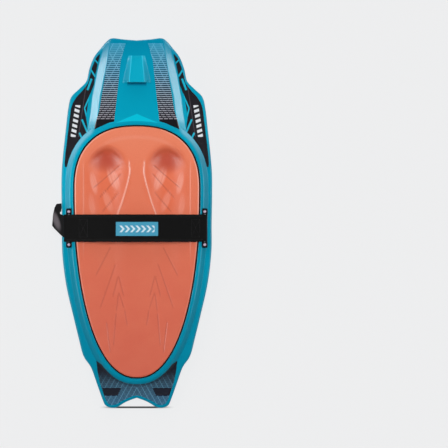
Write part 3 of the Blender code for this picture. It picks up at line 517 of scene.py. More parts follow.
def add_hook(shell):
    """The wedge that the tow handle catches under: a ramp with flared sides and a flat rear face."""
    base_at, top_at, rise_at = keyed(HOOK_BASE_MM), keyed(HOOK_TOP_MM), keyed(HOOK_RISE_MM)
    y = np.linspace(HOOK_REAR, HOOK_FRONT, 61)[:, None]
    spread = np.linspace(-1, 1, 97)[None]
    base, top = base_at(y), top_at(y)
    x = spread * (base + 4 * MM)
    rise = rise_at(y) * ramp((base - np.abs(x)) / (base - top), HOOK_SOFTNESS)
    hollow = HOOK_HOLLOW * ramp((top - HOOK_HOLLOW_INSET - np.abs(x)) / (2 * MM), 0.2)
    hollow = hollow * smoothstep(560 * MM, 550 * MM, y)
    level = deck_z(0, y)
    high = np.stack([x, y + 0 * x, level + rise - hollow - 0.3 * MM], axis=-1)
    low = high[:, ::-1].copy()
    low[..., 2] = level - HOOK_ROOT
    hook = capped_tube("hook", np.concatenate([high, low], axis=1))
    round_edges(hook, 1.6 * MM, 3, 60)
    cut(shell, hook, "UNION")
    centre = (0, HOOK_SLOT_Y, float(deck_z(0, HOOK_SLOT_Y)) + HOOK_SLOT_HEIGHT)
    cut(shell, rod_object("slot", HOOK_SLOT_RADIUS, 120 * MM, "X", centre))


def make_shell():
    """The moulded board with its ribs, its hook, the pad's recess and the seats of the two brackets."""
    rings = shell_rings(140, 18, 44)
    shell = mesh_object("board_shell", rings.reshape(-1, 3), ring_grid(rings), merge=True)
    add_strakes(shell)
    add_hook(shell)
    recess = pad_body("recess", PAD_MARGIN + 0.4 * MM, 240, 4, lambda x, y: rim_z(y) - RECESS_DEPTH,
                      lambda x, y: rim_z(y) + 40 * MM, None)
    cut(shell, recess)
    for bracket in ("strap_bracket_left", "strap_bracket_right"):
        low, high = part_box(bracket)
        gap, reach = 1.5 * MM, 40 * MM
        low_x = low.x - (gap if low.x > 0 else reach)
        high_x = high.x + (reach if low.x > 0 else gap)
        cut(shell, box_object("seat", (low_x, low.y - gap, low.z - 0.3 * MM),
                              (high_x, high.y + gap, high.z + reach)))
    shade(shell.data, 38)
    # the painted highlight of the rim's slope, kept on the mesh for the material
    add_field(shell, "painted_rim_highlight", painted_rim_highlight_field)
    return shell


# ---------------------------------------------------------------- knee pad
# Keys (y, value) in millimetres: x of the inner ridge, then each well's centre x, half width and depth.
RIDGE_MM = [(-60, 96), (36, 62.5), (70, 50), (110, 38), (145, 29), (177, 23.5), (211, 25.5), (240, 33)]
WELL_CENTRE_MM = [(-340, 76), (-100, 98), (60, 104), (222, 101), (262, 98)]
WELL_WIDTH_MM = [(-340, 30), (-100, 40), (60, 46), (150, 47), (222, 46), (262, 40)]
WELL_DEPTH_MM = [(-340, 0), (-200, 2), (-60, 5), (60, 8.5), (150, 11.5), (200, 14), (226, 15.5), (240, 13),
                 (256, 4.5), (268, 0)]
ridge_at, well_centre_at = smooth_curve(RIDGE_MM), smooth_curve(WELL_CENTRE_MM)
well_width_at, well_depth_at = smooth_curve(WELL_WIDTH_MM), smooth_curve(WELL_DEPTH_MM)
WELL_POWER = 2.6
RIDGE_HEIGHT = 1.9 * MM
RIDGE_WIDTH = 1.9 * MM
LEDGE_DROP = 1 * MM                 # the pad's front margin is a low ledge
FLANK_X = 180 * MM                  # outside this the pad stands a little higher beside the wells
FLANK_RISE = 0.9 * MM
# Moulded grooves of the right half: start x, y and end x, y in millimetres.
GROOVES_MM = [
    (56, 198, 150, 119), (52, 170, 131, 84), (59, 108, 121, 36), (88, -77, 141, -179), (71, -134, 125, -288),
    (61, -231, 70, -300), (70, -300, 80, -418), (61, -231, 42, -290), (42, -290, 32, -349),
    (62, -175, 43, -250), (62, -175, 82, -250), (103, -330, 90, -440),
]
GROOVE_DEPTH = 1.1 * MM
GROOVE_WIDTH = 1.5 * MM
SHOULDER = 0.7 * MM
SHOULDER_RUN = 7 * MM
# width of the painted shade along the bottom of each groove
GROOVE_SHADE_WIDTH = 1.8 * MM


def segment_distance(x, y, segment):
    """Signed distance across a segment, and a share that is 1 along it and fades out at its ends."""
    x1, y1, x2, y2 = np.array(segment) * MM
    length = math.hypot(x2 - x1, y2 - y1)
    along = ((x - x1) * (x2 - x1) + (y - y1) * (y2 - y1)) / length
    across = ((x - x1) * (y2 - y1) - (y - y1) * (x2 - x1)) / length
    return across, smoothstep(-2 * MM, 8 * MM, along) * smoothstep(-2 * MM, 14 * MM, length - along)


def groove_field(x, y):
    """Grooves, each with a low shoulder that rises again on one side, like overlapping feathers."""
    depth = np.zeros_like(x)
    for segment in GROOVES_MM:
        across, ends = segment_distance(x, y, segment)
        cut_depth = GROOVE_DEPTH * np.exp(-(across / GROOVE_WIDTH) ** 2)
        shoulder = SHOULDER * np.exp(-np.abs(across) / SHOULDER_RUN) * (across > 0)
        depth = np.maximum(depth, ends * np.maximum(cut_depth, shoulder))
    return depth


def painted_groove_shade_field(x, y):
    """1 in the bottom of a groove, where painted shade darkens the foam."""
    dark = np.zeros_like(x)
    for segment in GROOVES_MM:
        across, ends = segment_distance(x, y, segment)
        dark = np.maximum(dark, ends * np.exp(-((across - 0.3 * MM) / GROOVE_SHADE_WIDTH) ** 2))
    return dark


def painted_crest_highlight_field(x, y):
    """How strong the painted highlight is on the pad's raised edges: the inner ridges, the rim, the ledge,
    the flanks.
    """
    inside = -pad_distance(x, y)
    ridge_fade = smoothstep(-20 * MM, 60 * MM, y) * smoothstep(222 * MM, 195 * MM, y)
    ridge = 0.72 * np.exp(-((x - ridge_at(y) - 0.6 * MM) / (1.7 * MM)) ** 2) * ridge_fade
    rim_fade = smoothstep(60 * MM, 120 * MM, x) * smoothstep(-150 * MM, 60 * MM, y)
    rim = 0.5 * np.exp(-((inside - 2.6 * MM) / (1.6 * MM)) ** 2) * rim_fade
    ledge_fade = smoothstep(150 * MM, 100 * MM, x) * smoothstep(200 * MM, 260 * MM, y)
    ledge = 0.09 * np.exp(-((inside - 37 * MM) / (6 * MM)) ** 2) * ledge_fade
    flank = 0.16 * np.exp(-((x - FLANK_X) / (1.8 * MM)) ** 2) * smoothstep(-140 * MM, -20 * MM, y)
    flank *= smoothstep(215 * MM, 170 * MM, y)
    return np.maximum.reduce([ridge, rim, ledge, flank])


def pad_top_z(x, y):
    """Top of the pad: the two wells with their ridges, the front ledge, the raised flanks and the grooves."""
    ax = np.abs(x)
    inside = np.clip(-pad_distance(x, y), 0, None)
    edge = np.clip(inside / PAD_EDGE_ROUNDING, 0, 1)
    rounding = PAD_EDGE_ROUNDING * (1 - np.sqrt(np.clip(1 - (1 - edge) ** 2, 0, None)))
    reach = np.abs(ax - well_centre_at(y)) / well_width_at(y)
    bow = y + 26 * MM * reach ** 2 * smoothstep(120 * MM, 200 * MM, y)
    well = well_depth_at(bow) * np.exp(-reach ** WELL_POWER)
    ridge_fade = smoothstep(-30 * MM, 20 * MM, y) * (1 - smoothstep(195 * MM, 232 * MM, y))
    ridge = RIDGE_HEIGHT * np.exp(-((ax - ridge_at(y)) / RIDGE_WIDTH) ** 2) * ridge_fade
    ledge = LEDGE_DROP * (1 - ramp((inside - 27 * MM) / (4 * MM))) * smoothstep(190 * MM, 250 * MM, y)
    flank_fade = smoothstep(-180 * MM, -60 * MM, y) * (1 - smoothstep(190 * MM, 240 * MM, y))
    flank = FLANK_RISE * ramp((ax - FLANK_X) / (3 * MM)) * flank_fade
    return rim_z(y) + PAD_CROWN - 0.7 * rounding - well + ridge - ledge + flank - groove_field(ax, y)


def make_pad():
    """The black base sheet in the shell's recess, and the moulded pad on it."""
    base_top = RECESS_DEPTH - PAD_BASE_THICKNESS
    base = pad_body("pad_underlay", PAD_MARGIN, 180, 12, lambda x, y: rim_z(y) - RECESS_DEPTH + 0.3 * MM,
                    lambda x, y: rim_z(y) - base_top)
    pad = pad_body("moulded_pad", 0.0, 430, 124, lambda x, y: rim_z(y) - base_top + 0.3 * MM, pad_top_z)
    add_field(pad, "painted_groove_shade", painted_groove_shade_field)
    add_field(pad, "painted_crest_highlight", painted_crest_highlight_field)
    return base, pad


# ---------------------------------------------------------------- decals
def rim_offset_y(x, offset, front):
    """y where the distance from the pad's outline reaches an offset, ahead of the pad or behind it."""
    far = 0.7 if front else -0.7
    near, far = np.full_like(x, PAD_CENTRE_Y), np.full_like(x, far)
    return bisected(near, far, lambda y: pad_distance(x, y) > offset)


def rim_offset_x(y, offset):
    """x where the distance from the pad's outline reaches an offset, at each y."""
    return bisected(np.zeros_like(y), np.full_like(y, 0.4), lambda x: pad_distance(x, y) > offset)


# Edges of the prints on the right half: (y, x) on the nose and wings, (x, y) at the tail, in millimetres.
NOSE_INNER_MM = [(330, 78), (352, 76), (550, 54), (590, 43), (608, 37)]
NOSE_OUTER_MM = [(330, 143), (381, 127), (550, 99), (590, 91), (608, 87.5)]
NOSE_PRINT_FRONT = 608 * MM
WING_PRINT_FRONT = 571 * MM
WING_PRINT_REAR = 192 * MM
PRINT_GAP = 6 * MM                  # between the lip and the nose and tail prints
WING_INNER_MM = [(300, 165), (340, 169), (360, 172), (400, 166), (430, 161), (470, 145), (500, 141),
                 (540, 132), (571, 124)]
WING_OUTER_MM = [(190, 243), (205, 244.5), (240, 241.5), (290, 235.5), (350, 228), (390, 223), (412, 215),
                 (430, 203), (450, 184), (474, 165), (500, 158.5), (530, 150), (560, 137), (571, 127)]
TAIL_LOW_MM = [(0, -583), (14, -585), (31, -592.5), (51, -602), (70, -613.5), (86, -616), (97, -611),
               (106.5, -595), (125, -541), (133.5, -500), (137, -468)]
TAIL_EDGE = 137 * MM
TAIL_ARC_END = 120 * MM             # from here the print's front edge leaves the lip and runs to the corner
TAIL_CORNER_RUN = 16 * MM
TAIL_CORNER_Y = -466 * MM


def film(name, x, y):
    return skin_plate(name, x, y, deck_z, DECAL_THICKNESS, LIFT)


def nose_film(name, side):
    """From a line beside the lip to the front of the nose platform."""
    inner, outer = keyed(NOSE_INNER_MM), keyed(NOSE_OUTER_MM)
    across = np.linspace(0, 1, 29)[None]
    low = np.full((1, 29), 370 * MM)
    for _ in range(12):
        low = rim_offset_y(inner(low) * (1 - across) + outer(low) * across, LIP_WIDTH + PRINT_GAP, True)
    y = low + (NOSE_PRINT_FRONT - low) * np.linspace(0, 1, 151)[:, None]
    return film(name, side * (inner(y) * (1 - across) + outer(y) * across), y)


def wing_film(name, side):
    """Along the wing, between the foot of the rim or the platform and the rail."""
    inner, outer = keyed(WING_INNER_MM), keyed(WING_OUTER_MM)
    across = np.linspace(0, 1, 33)[None]
    y = np.repeat(np.linspace(WING_PRINT_FRONT, WING_PRINT_REAR, 201)[:, None], 33, axis=1)
    inner_x = np.maximum(inner(y), rim_offset_x(y, LIP_WIDTH + RIM_SLOPE + 1.5 * MM))
    x = np.minimum(inner_x, outer(y) - 2 * MM) * (1 - across) + outer(y) * across
    return film(name, side * x, y)


def tail_film(name):
    """Across the tail, from the lip to the swallow tail's edge."""
    x = np.repeat(np.linspace(-TAIL_EDGE, TAIL_EDGE, 241)[:, None], 41, axis=1)
    arc = rim_offset_y(np.clip(np.abs(x), 0, TAIL_ARC_END), LIP_WIDTH + PRINT_GAP, False)
    top = arc + (TAIL_CORNER_Y - arc) * np.clip((np.abs(x) - TAIL_ARC_END) / TAIL_CORNER_RUN, 0, 1)
    low = keyed(TAIL_LOW_MM)(np.abs(x))
    return film(name, x, top + (low - top) * np.linspace(0, 1, 41)[None])


def make_decals():
    """Thin films over the deck: (piece, the node it stands for) for each print."""
    decals = []
    for word, side in (("left", -1), ("right", 1)):
        decals.append((nose_film(f"nose_print_{word}", side), f"nose_decal_{word}"))
        decals.append((wing_film(f"wing_print_{word}", side), f"wing_decal_{word}"))
    decals.append((tail_film("tail_print"), "tail_decal"))
    return decals


# ---------------------------------------------------------------- strap hardware
STRAP_Y = (WEB_LOW.y + WEB_HIGH.y) / 2
STRAP_HALF_WIDTH = (WEB_HIGH.y - WEB_LOW.y) / 2
WEB_THICKNESS = 2.5 * MM
LOOP_RADIUS = 4.65 * MM
BLOCK_LENGTH = 19 * MM
BRACKET_FLOOR = 3 * MM
SCREW_OFFSET = 56 * MM


def rounded_prism(name, half_x, half_y, low, high, radius, bevel):
    """An upright block with round corners and a bevel round its top."""
    bm = bmesh.new()
    outline = []
    for corner_x, corner_y, start in ((1, 1, 0), (-1, 1, 90), (-1, -1, 180), (1, -1, 270)):
        for k in range(9):
            angle = math.radians(start + 90 * k / 8)
            outline.append((corner_x * (half_x - radius) + radius * math.cos(angle),
                            corner_y * (half_y - radius) + radius * math.sin(angle), low))
    face = bm.faces.new([bm.verts.new(p) for p in outline])
    extruded = bmesh.ops.extrude_face_region(bm, geom=[face])
    moved = [v for v in extruded["geom"] if isinstance(v, bmesh.types.BMVert)]
    bmesh.ops.translate(bm, verts=moved, vec=(0, 0, high - low))
    bmesh.ops.recalc_face_normals(bm, faces=bm.faces)
    edges = [e for e in bm.edges if e.verts[0].co.z > high - MM and e.verts[1].co.z > high - MM]
    bmesh.ops.bevel(bm, geom=edges, offset=bevel, segments=4, profile=0.5, affect="EDGES")
    return bmesh_object(name, bm)


def make_bracket(word, bar):
    """A low plate with a block at each end, which hold the bar between them and take the two screws."""
    low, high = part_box(f"strap_bracket_{word}")
    half_x, half_y = (high.x - low.x) / 2, (high.y - low.y) / 2
    body = rounded_prism(f"bracket_{word}", half_x, half_y, 0, high.z - low.z, half_x * 0.45, 1.6 * MM)
    inner = half_y - BLOCK_LENGTH
    cut(body, box_object("channel", (-half_x * 2, -inner, BRACKET_FLOOR), (half_x * 2, inner, 50 * MM)))
    round_edges(body, 0.7 * MM, 2, 50)
    bar_z = bar.z - low.z
    cut(body, rod_object("bore", 3.3 * MM, 2 * (inner + 4.8 * MM), "Y", (0, 0, bar_z)))
    for end in (-1, 1):
        cut(body, rod_object("hole", 2.7 * MM, 80 * MM, "Z", (0, end * SCREW_OFFSET, bar_z)))
        cut(body, rod_object("spot", 5.6 * MM, 0.9 * MM, "Z", (0, end * SCREW_OFFSET, high.z - low.z)))
    body.data.transform(Matrix.Translation(((low.x + high.x) / 2, STRAP_Y, low.z)))
    shade(body.data, 35)
    return body


# A pan head from its middle to its underside: shares of its radius and of its height.
SCREW_HEAD = [(0, 1), (0.45, 0.97), (0.72, 0.84), (0.9, 0.58), (0.985, 0.28), (1, 0.08), (0.98, 0)]


def make_screw(name, node, turn):
    """A pan-head screw with a cross recess."""
    low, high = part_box(node)
    radius, root = (high.x - low.x) / 2, 2.4 * MM
    head = 2.8 * MM
    profile = [(radius * across, head * up) for across, up in SCREW_HEAD] + [(root, 0)]
    length = high.z - low.z - head
    pitch = 1.6 * MM
    z = -1.5 * MM
    while z > -length + 4 * MM:
        profile += [(root * 0.8, z), (root, z - pitch / 2)]
        z -= pitch
    profile += [(root * 0.5, -length + MM), (0, -length)]
    angle = np.linspace(0, 2 * math.pi, 48, endpoint=False)
    rings = np.array([[(max(r, 1e-6) * math.cos(a), max(r, 1e-6) * math.sin(a), z) for a in angle]
                      for r, z in profile])
    screw = mesh_object(name, rings.reshape(-1, 3), ring_grid(rings), 30, merge=True)
    reach, half, depth = radius * 0.51, 0.55 * MM, 1.2 * MM
    for half_x, half_y in ((reach, half), (half, reach)):
        cut(screw, box_object("cross", (-half_x, -half_y, head - depth), (half_x, half_y, head + MM)))
    centre = (low + high) / 2
    place = Matrix.Translation((centre.x, centre.y, high.z - head)) @ Matrix.Rotation(turn, 4, "Z")
    screw.data.transform(place)
    shade(screw.data, 30)
    return screw


# ---------------------------------------------------------------- strap
ARCH_RISE = 78 * MM
ARCH_HALF_SPAN = 245 * MM
ARCH_BASE = 65.7 * MM
ARCH_TILT = 0.0154
ARCH_RIGHT = 232.5 * MM
ARCH_LEFT = -236 * MM
FOLD_X = -246 * MM
PADDING_THICKNESS = 6 * MM
PADDING_X = (-112 * MM, 172 * MM)
PADDING_HALF_WIDTH = 42 * MM
PADDING_TUCK = np.array([0.82, 0.95, 1, 1, 1, 1, 1, 1, 1, 0.95, 0.82])     # its width from end to end
LOOP_X = (-226 * MM, -124 * MM)
LOOP_HALF_WIDTH = 36 * MM
ANCHOR_END = -128 * MM
ANCHOR_HALF_WIDTH = 38 * MM
HOOK_X = (-215 * MM, -135 * MM)
HOOK_HALF_WIDTH = 34 * MM
LABEL_X = (-70 * MM, 71 * MM)
LABEL_THICKNESS = 0.7 * MM
LABEL_GAP = 0.2 * MM
PATCH_THICKNESS = 1.5 * MM
CLEARANCE = 0.3 * MM


def arch_at(x, offset):
    """Points (x, z) at an offset from the strap's centre line, positive outwards, and the normals there."""
    slope = -2 * ARCH_RISE * x / ARCH_HALF_SPAN ** 2 - ARCH_TILT
    length = np.hypot(1, slope)
    z = ARCH_BASE + ARCH_RISE * (1 - (x / ARCH_HALF_SPAN) ** 2) - ARCH_TILT * x
    return (x - slope / length * offset, z + offset / length), (-slope / length, 1 / length)


def arch(start, end, offset, count):
    """Even points (x, z) along the arch."""
    points, _ = arch_at(np.linspace(start, end, count + 1), offset)
    return np.stack(points, axis=1)


def on_arch(x, y, offset):
    """Points (x, y, z) over the arch, and the outward normals there."""
    x, y = np.broadcast_arrays(np.asarray(x, float), np.asarray(y, float))
    (east, up), (tilt, rise) = arch_at(x, offset)
    return np.stack([east, y, up], axis=-1), np.stack([tilt, np.zeros_like(x), rise], axis=-1)


def walk_back(path, distance):
    """The point at a distance from the end of a path, and the heading there."""
    for before, after in zip(path[-2::-1], path[:0:-1]):
        length = np.linalg.norm(after - before)
        if distance <= length:
            return after + (before - after) * distance / length, (after - before) / length
        distance -= length
    return path[0], (path[1] - path[0]) / np.linalg.norm(path[1] - path[0])


def round_bar(side, path, bar):
    """The turn that webbing makes round a bar, with its end sewn back under itself."""
    centre = np.array([bar.x, bar.z])
    start = math.atan2(*(path[-1] - centre)[::-1])
    angle = start - side * math.radians(192) * np.arange(1, 25) / 24
    turn = centre + LOOP_RADIUS * np.stack([np.cos(angle), np.sin(angle)], axis=1)
    tail = []
    for distance in (16 * MM, 23 * MM, 30 * MM):
        spot, heading = walk_back(path, distance)
        inward = np.array([heading[1], -heading[0]]) * side
        tail.append(spot + inward * (WEB_THICKNESS + CLEARANCE))
    return np.vstack([turn, tail])


def resampled(path, step):
    """Points at an even step along a path, and the distance along it to each."""
    lengths = run_lengths(path)
    count = max(4, int(round(lengths[-1] / step)))
    along = np.linspace(0, lengths[-1], count + 1)
    return np.stack([np.interp(along, lengths, path[:, k]) for k in (0, 1)], axis=1), along


def path_normals(path):
    tangent = unit(np.gradient(path, axis=0))
    return np.stack([-tangent[:, 1], tangent[:, 0]], axis=1)


def unroll(obj, along, across):
    """UVs from two values in metres at each vertex."""
    loops = np.zeros(len(obj.data.loops), int)
    obj.data.loops.foreach_get("vertex_index", loops)
    layer = obj.data.uv_layers.new(name="UVMap")
    layer.data.foreach_set("uv", np.stack([along[loops], across[loops]], axis=1).ravel().astype(np.float32))


def band(name, path, thickness, low, high, step=2 * MM, profile=None):
    """A flat band along an (x, z) path, with rounded edges, and UVs in metres along and across it.

    profile(across) is a share of the thickness, for across from 0 at the low edge to 1 at the high edge."""
    points, along = resampled(path, step)
    normal = path_normals(points)
    share = np.linspace(0, 1, len(points))
    low_y = np.interp(share, np.linspace(0, 1, len(low)), low)[:, None]
    high_y = np.interp(share, np.linspace(0, 1, len(high)), high)[:, None]
    columns = 44
    t = (1 - np.cos(np.linspace(0, math.pi, columns + 1))) / 2
    t = 0.35 * t + 0.65 * np.linspace(0, 1, columns + 1)
    y = low_y + (high_y - low_y) * t[None]
    from_edge = np.minimum(y - low_y, high_y - y)
    rounding = np.sqrt(np.clip(1 - (1 - np.clip(from_edge / (thickness / 2), 0, 1)) ** 2, 0.02, 1))
    half = thickness / 2 * rounding * (profile(t)[None] if profile else 1.0)

    def face(reach):
        east, up = (points[:, k:k + 1] + normal[:, k:k + 1] * reach for k in (0, 1))
        return np.stack([east, y, up], axis=-1)

    rings = np.concatenate([face(half), face(-half)[:, ::-1]], axis=1)
    obj = capped_tube(name, rings, 50, merge=False)
    unroll(obj, np.repeat(along, rings.shape[1]), rings[..., 1].ravel())
    return obj


def straight_band(name, path, thickness, half_width, step=2 * MM):
    """A band of one width, centred across the strap."""
    return band(name, path, thickness, [STRAP_Y - half_width], [STRAP_Y + half_width], step)


# A stitch from end to end: share of its length, share of its radius, and height over the surface in radii.
STITCH_PROFILE = [(-0.5, 0.35, -0.9), (-0.36, 0.9, -0.1), (0, 1, 0.25), (0.36, 0.9, -0.1), (0.5, 0.35, -0.9)]


def stitches(name, spots, headings, normals, length=3.0 * MM, radius=0.35 * MM):
    """Short threads lying on a surface: one at each spot, along its heading."""
    verts, faces = [], []
    sides = 6
    for spot, heading, normal in zip(spots, headings, normals):
        across = np.cross(normal, heading)
        first = len(verts)
        for t, swell, dip in STITCH_PROFILE:
            for k in range(sides):
                a = 2 * math.pi * k / sides
                verts.append(spot + heading * t * length + across * math.cos(a) * radius * swell
                             + normal * (math.sin(a) * swell + dip) * radius)
        for ring in range(len(STITCH_PROFILE) - 1):
            a, b = first + ring * sides, first + (ring + 1) * sides
            for k in range(sides):
                faces.append((a + k, a + (k + 1) % sides, b + (k + 1) % sides, b + k))
    return mesh_object(name, verts, faces, 60)


def seam(points, normals, pitch=4.2 * MM):
    """Spots, headings and surface normals at an even pitch along a polyline."""
    lengths = run_lengths(points)
    along = np.arange(pitch / 2, lengths[-1], pitch)

    def at(values, distances):
        return np.stack([np.interp(distances, lengths, values[:, k]) for k in range(3)], axis=1)

    headings = at(points, along + 0.5 * MM) - at(points, along - 0.5 * MM)
    return at(points, along), unit(headings), unit(at(normals, along))


def cushion_profile(t):
    """The padding's thickness across its width: full in the middle, with a pressed line by each edge."""
    pressed = np.exp(-((np.abs(t - 0.5) - 0.4) / 0.02) ** 2)
    return 0.9 + 0.1 * np.sin(math.pi * t) ** 0.5 - 0.12 * pressed


def make_strap():
    """The webbing, the padding under it, its label and the loop tape under its free end."""
    main = arch(FOLD_X, ARCH_RIGHT, 0.0, 120)
    path = np.vstack([main, round_bar(1, main, BAR_RIGHT)])
    webbing = straight_band("strap_weave", path, WEB_THICKNESS, STRAP_HALF_WIDTH, 2.2 * MM)

    offset = -(WEB_THICKNESS / 2 + CLEARANCE + PADDING_THICKNESS / 2)
    half = PADDING_HALF_WIDTH * PADDING_TUCK
    padding = band("strap_cushion", arch(*PADDING_X, offset, 90), PADDING_THICKNESS,
                   STRAP_Y - half, STRAP_Y + half, 2.4 * MM, cushion_profile)

    label_offset = WEB_THICKNESS / 2 + LABEL_GAP + LABEL_THICKNESS / 2
    label = band("strap_print", arch(*LABEL_X, label_offset, 70), LABEL_THICKNESS, [LABEL_LOW.y],
                 [LABEL_HIGH.y], 1.8 * MM)

    loop_offset = -(WEB_THICKNESS / 2 + CLEARANCE + PATCH_THICKNESS / 2)
    loop = straight_band("loop_tape", arch(*LOOP_X, loop_offset, 50), PATCH_THICKNESS * 0.95, LOOP_HALF_WIDTH)
    return webbing, padding, label, loop


def make_anchor():
    """The short half of the closure: webbing round the left bar, with the hook tape on top."""
    offset = -(WEB_THICKNESS + 2 * PATCH_THICKNESS + 3 * CLEARANCE)
    main = arch(ANCHOR_END, ARCH_LEFT, offset, 50)
    path = np.vstack([main, round_bar(-1, main, BAR_LEFT)])
    weave = straight_band("anchor_weave", path, WEB_THICKNESS, ANCHOR_HALF_WIDTH)
    patch_offset = -(WEB_THICKNESS / 2 + PATCH_THICKNESS * 1.5 + 2 * CLEARANCE)
    patch_path = arch(*HOOK_X, patch_offset, 40)
    patch = straight_band("hook_tape", patch_path, PATCH_THICKNESS * 0.95, HOOK_HALF_WIDTH)
    return weave, patch


# The pull tab in plan, in millimetres: its rear edge, front edge and free end; then its height along x.
TAB_REAR_MM = [(-246.8, -47), (-258, -38), (-268, -28), (-280, -16), (-287, -6)]
TAB_FRONT_MM = [(-246.8, 28), (-259, 33), (-261, 38), (-256, 42), (-254, 55), (-255, 69)]
TAB_END_MM = [(-287, -6), (-284, 30), (-279, 54), (-272, 67), (-255, 69)]
TAB_HEIGHT_MM = [(-287, 59.0), (-283, 57.0), (-277, 57.0), (-268, 60.2), (-258, 64.5), (-246.8, 68.3)]
TAB_THICKNESS = 2.2 * MM
LINING_INSET = 0.16
LINING_THICKNESS = 1.5 * MM


def tab_height(x, _):
    return keyed(TAB_HEIGHT_MM)(x)


def tab_grid(start, end, low, high):
    """Plan points of the tab between shares of its length and width: a patch between its four edges."""
    def edge(keys_mm, shares):
        points, _ = resampled(np.array(keys_mm, float) * MM, MM)
        even = np.linspace(0, 1, len(points))
        return np.stack([np.interp(shares, even, points[:, k]) for k in (0, 1)], axis=-1)

    along = np.linspace(start, end, 45)
    across = np.linspace(low, high, 61)
    rear, front, tip = edge(TAB_REAR_MM, along), edge(TAB_FRONT_MM, along), edge(TAB_END_MM, across)
    t = across[None, :, None]
    plan = rear[:, None] * (1 - t) + front[:, None] * t
    straight = np.array(TAB_END_MM[0]) * MM * (1 - t[0]) + np.array(TAB_END_MM[-1]) * MM * t[0]
    plan = plan + along[:, None, None] * (tip - straight)[None]
    return plan[..., 0], plan[..., 1]


def make_tab():
    """The strap's free end past the fold, and the soft lining under it."""
    tab = skin_plate("tab_weave", *tab_grid(0, 1, 0, 1), tab_height, TAB_THICKNESS, -TAB_THICKNESS / 2)
    lining = skin_plate("tab_fleece", *tab_grid(0.3, 0.9, LINING_INSET, 1 - LINING_INSET), tab_height,
                        LINING_THICKNESS, -TAB_THICKNESS / 2 - CLEARANCE - LINING_THICKNESS)
    for piece in (tab, lining):
        points = vertex_places(piece)
        unroll(piece, points[:, 0], points[:, 1])
    return tab, lining


def make_seams():
    """Stitch rows along both edges of the strap, in a crossed box at each end, and round the label."""
    rows = []
    surface = WEB_THICKNESS / 2
    xs = np.linspace(-240 * MM, 222 * MM, 300)
    for inset in (3.2 * MM, 8 * MM):
        for edge in (STRAP_Y - STRAP_HALF_WIDTH + inset, STRAP_Y + STRAP_HALF_WIDTH - inset):
            rows.append(seam(*on_arch(xs, edge, surface)))
    for centre_x in (-180 * MM, 198 * MM):
        half_x, half_y = 14 * MM, 30 * MM
        corners = [(-1, -1), (1, -1), (1, 1), (-1, 1), (-1, -1), (1, 1), (1, -1), (-1, 1)]
        for (ax, ay), (bx, by) in zip(corners, corners[1:]):
            t = np.linspace(0, 1, 20)
            rows.append(seam(*on_arch(centre_x + half_x * (ax + (bx - ax) * t),
                                      STRAP_Y + half_y * (ay + (by - ay) * t), surface)))
    strap = stitches("strap_stitches", *[np.concatenate(part) for part in zip(*rows)])

    rows = []
    surface = WEB_THICKNESS / 2 + LABEL_GAP + LABEL_THICKNESS
    low_x, high_x = LABEL_X[0] + 2.5 * MM, LABEL_X[1] - 2.5 * MM
    low_y, high_y = LABEL_LOW.y + 2.2 * MM, LABEL_HIGH.y - 2.2 * MM
    for y in (low_y, high_y):
        rows.append(seam(*on_arch(np.linspace(low_x, high_x, 60), y, surface), 3.4 * MM))
    for x in (low_x, high_x):
        rows.append(seam(*on_arch(np.full(20, x), np.linspace(low_y, high_y, 20), surface), 3.4 * MM))
    label = stitches("label_stitches", *[np.concatenate(part) for part in zip(*rows)], 2.5 * MM, 0.28 * MM)
    return strap, label


# ---------------------------------------------------------------- materials
def srgb(red, green, blue, alpha=1.0):
    def linear(level):
        level /= 255
        return level / 12.92 if level <= 0.04045 else ((level + 0.055) / 1.055) ** 2.4
    return (linear(red), linear(green), linear(blue), alpha)


class Wire:
    """A number in a material's node tree, which + - * / and the methods below combine."""

    def __init__(self, look, socket):
        self.look, self.socket = look, socket

    def math(self, operation, *others, clamp=False):
        node = self.look.tree.nodes.new("ShaderNodeMath")
        node.operation = operation
        node.use_clamp = clamp
        for slot, value in zip(node.inputs, (self, *others)):
            self.look.feed(slot, value)
        return Wire(self.look, node.outputs[0])

    def __add__(self, other):
        return self.math("ADD", other)

    def __sub__(self, other):
        return self.math("SUBTRACT", other)

    def __mul__(self, other):
        return self.math("MULTIPLY", other)

    def __truediv__(self, other):
        return self.math("DIVIDE", other)

    def absolute(self):
        return self.math("ABSOLUTE")

    def fraction(self):
        return self.math("FRACT")

    def sine(self):
        return self.math("SINE")

    def limited(self):
        return self.math("ADD", 0.0, clamp=True)

    def maximum(self, other):
        return self.math("MAXIMUM", other)

    def from_line(self):
        """For stripes at a pitch of 1: 0 on the line half way between whole numbers, 0.5 on them."""
        return (self.fraction() - 0.5).absolute()

    def wave(self, pitch):
        return (self * (2 * math.pi / pitch)).sine()

    def step(self, low, high):
        """0 below low, 1 above high, smooth between; high may be the smaller one."""
        node = self.look.tree.nodes.new("ShaderNodeMapRange")
        node.interpolation_type = "SMOOTHSTEP"
        self.look.feed(node.inputs["Value"], self)
        flip = low > high
        self.look.feed(node.inputs["From Min"], min(low, high))
        self.look.feed(node.inputs["From Max"], max(low, high))
        self.look.feed(node.inputs["To Min"], 1.0 if flip else 0.0)
        self.look.feed(node.inputs["To Max"], 0.0 if flip else 1.0)
        return Wire(self.look, node.outputs["Result"])


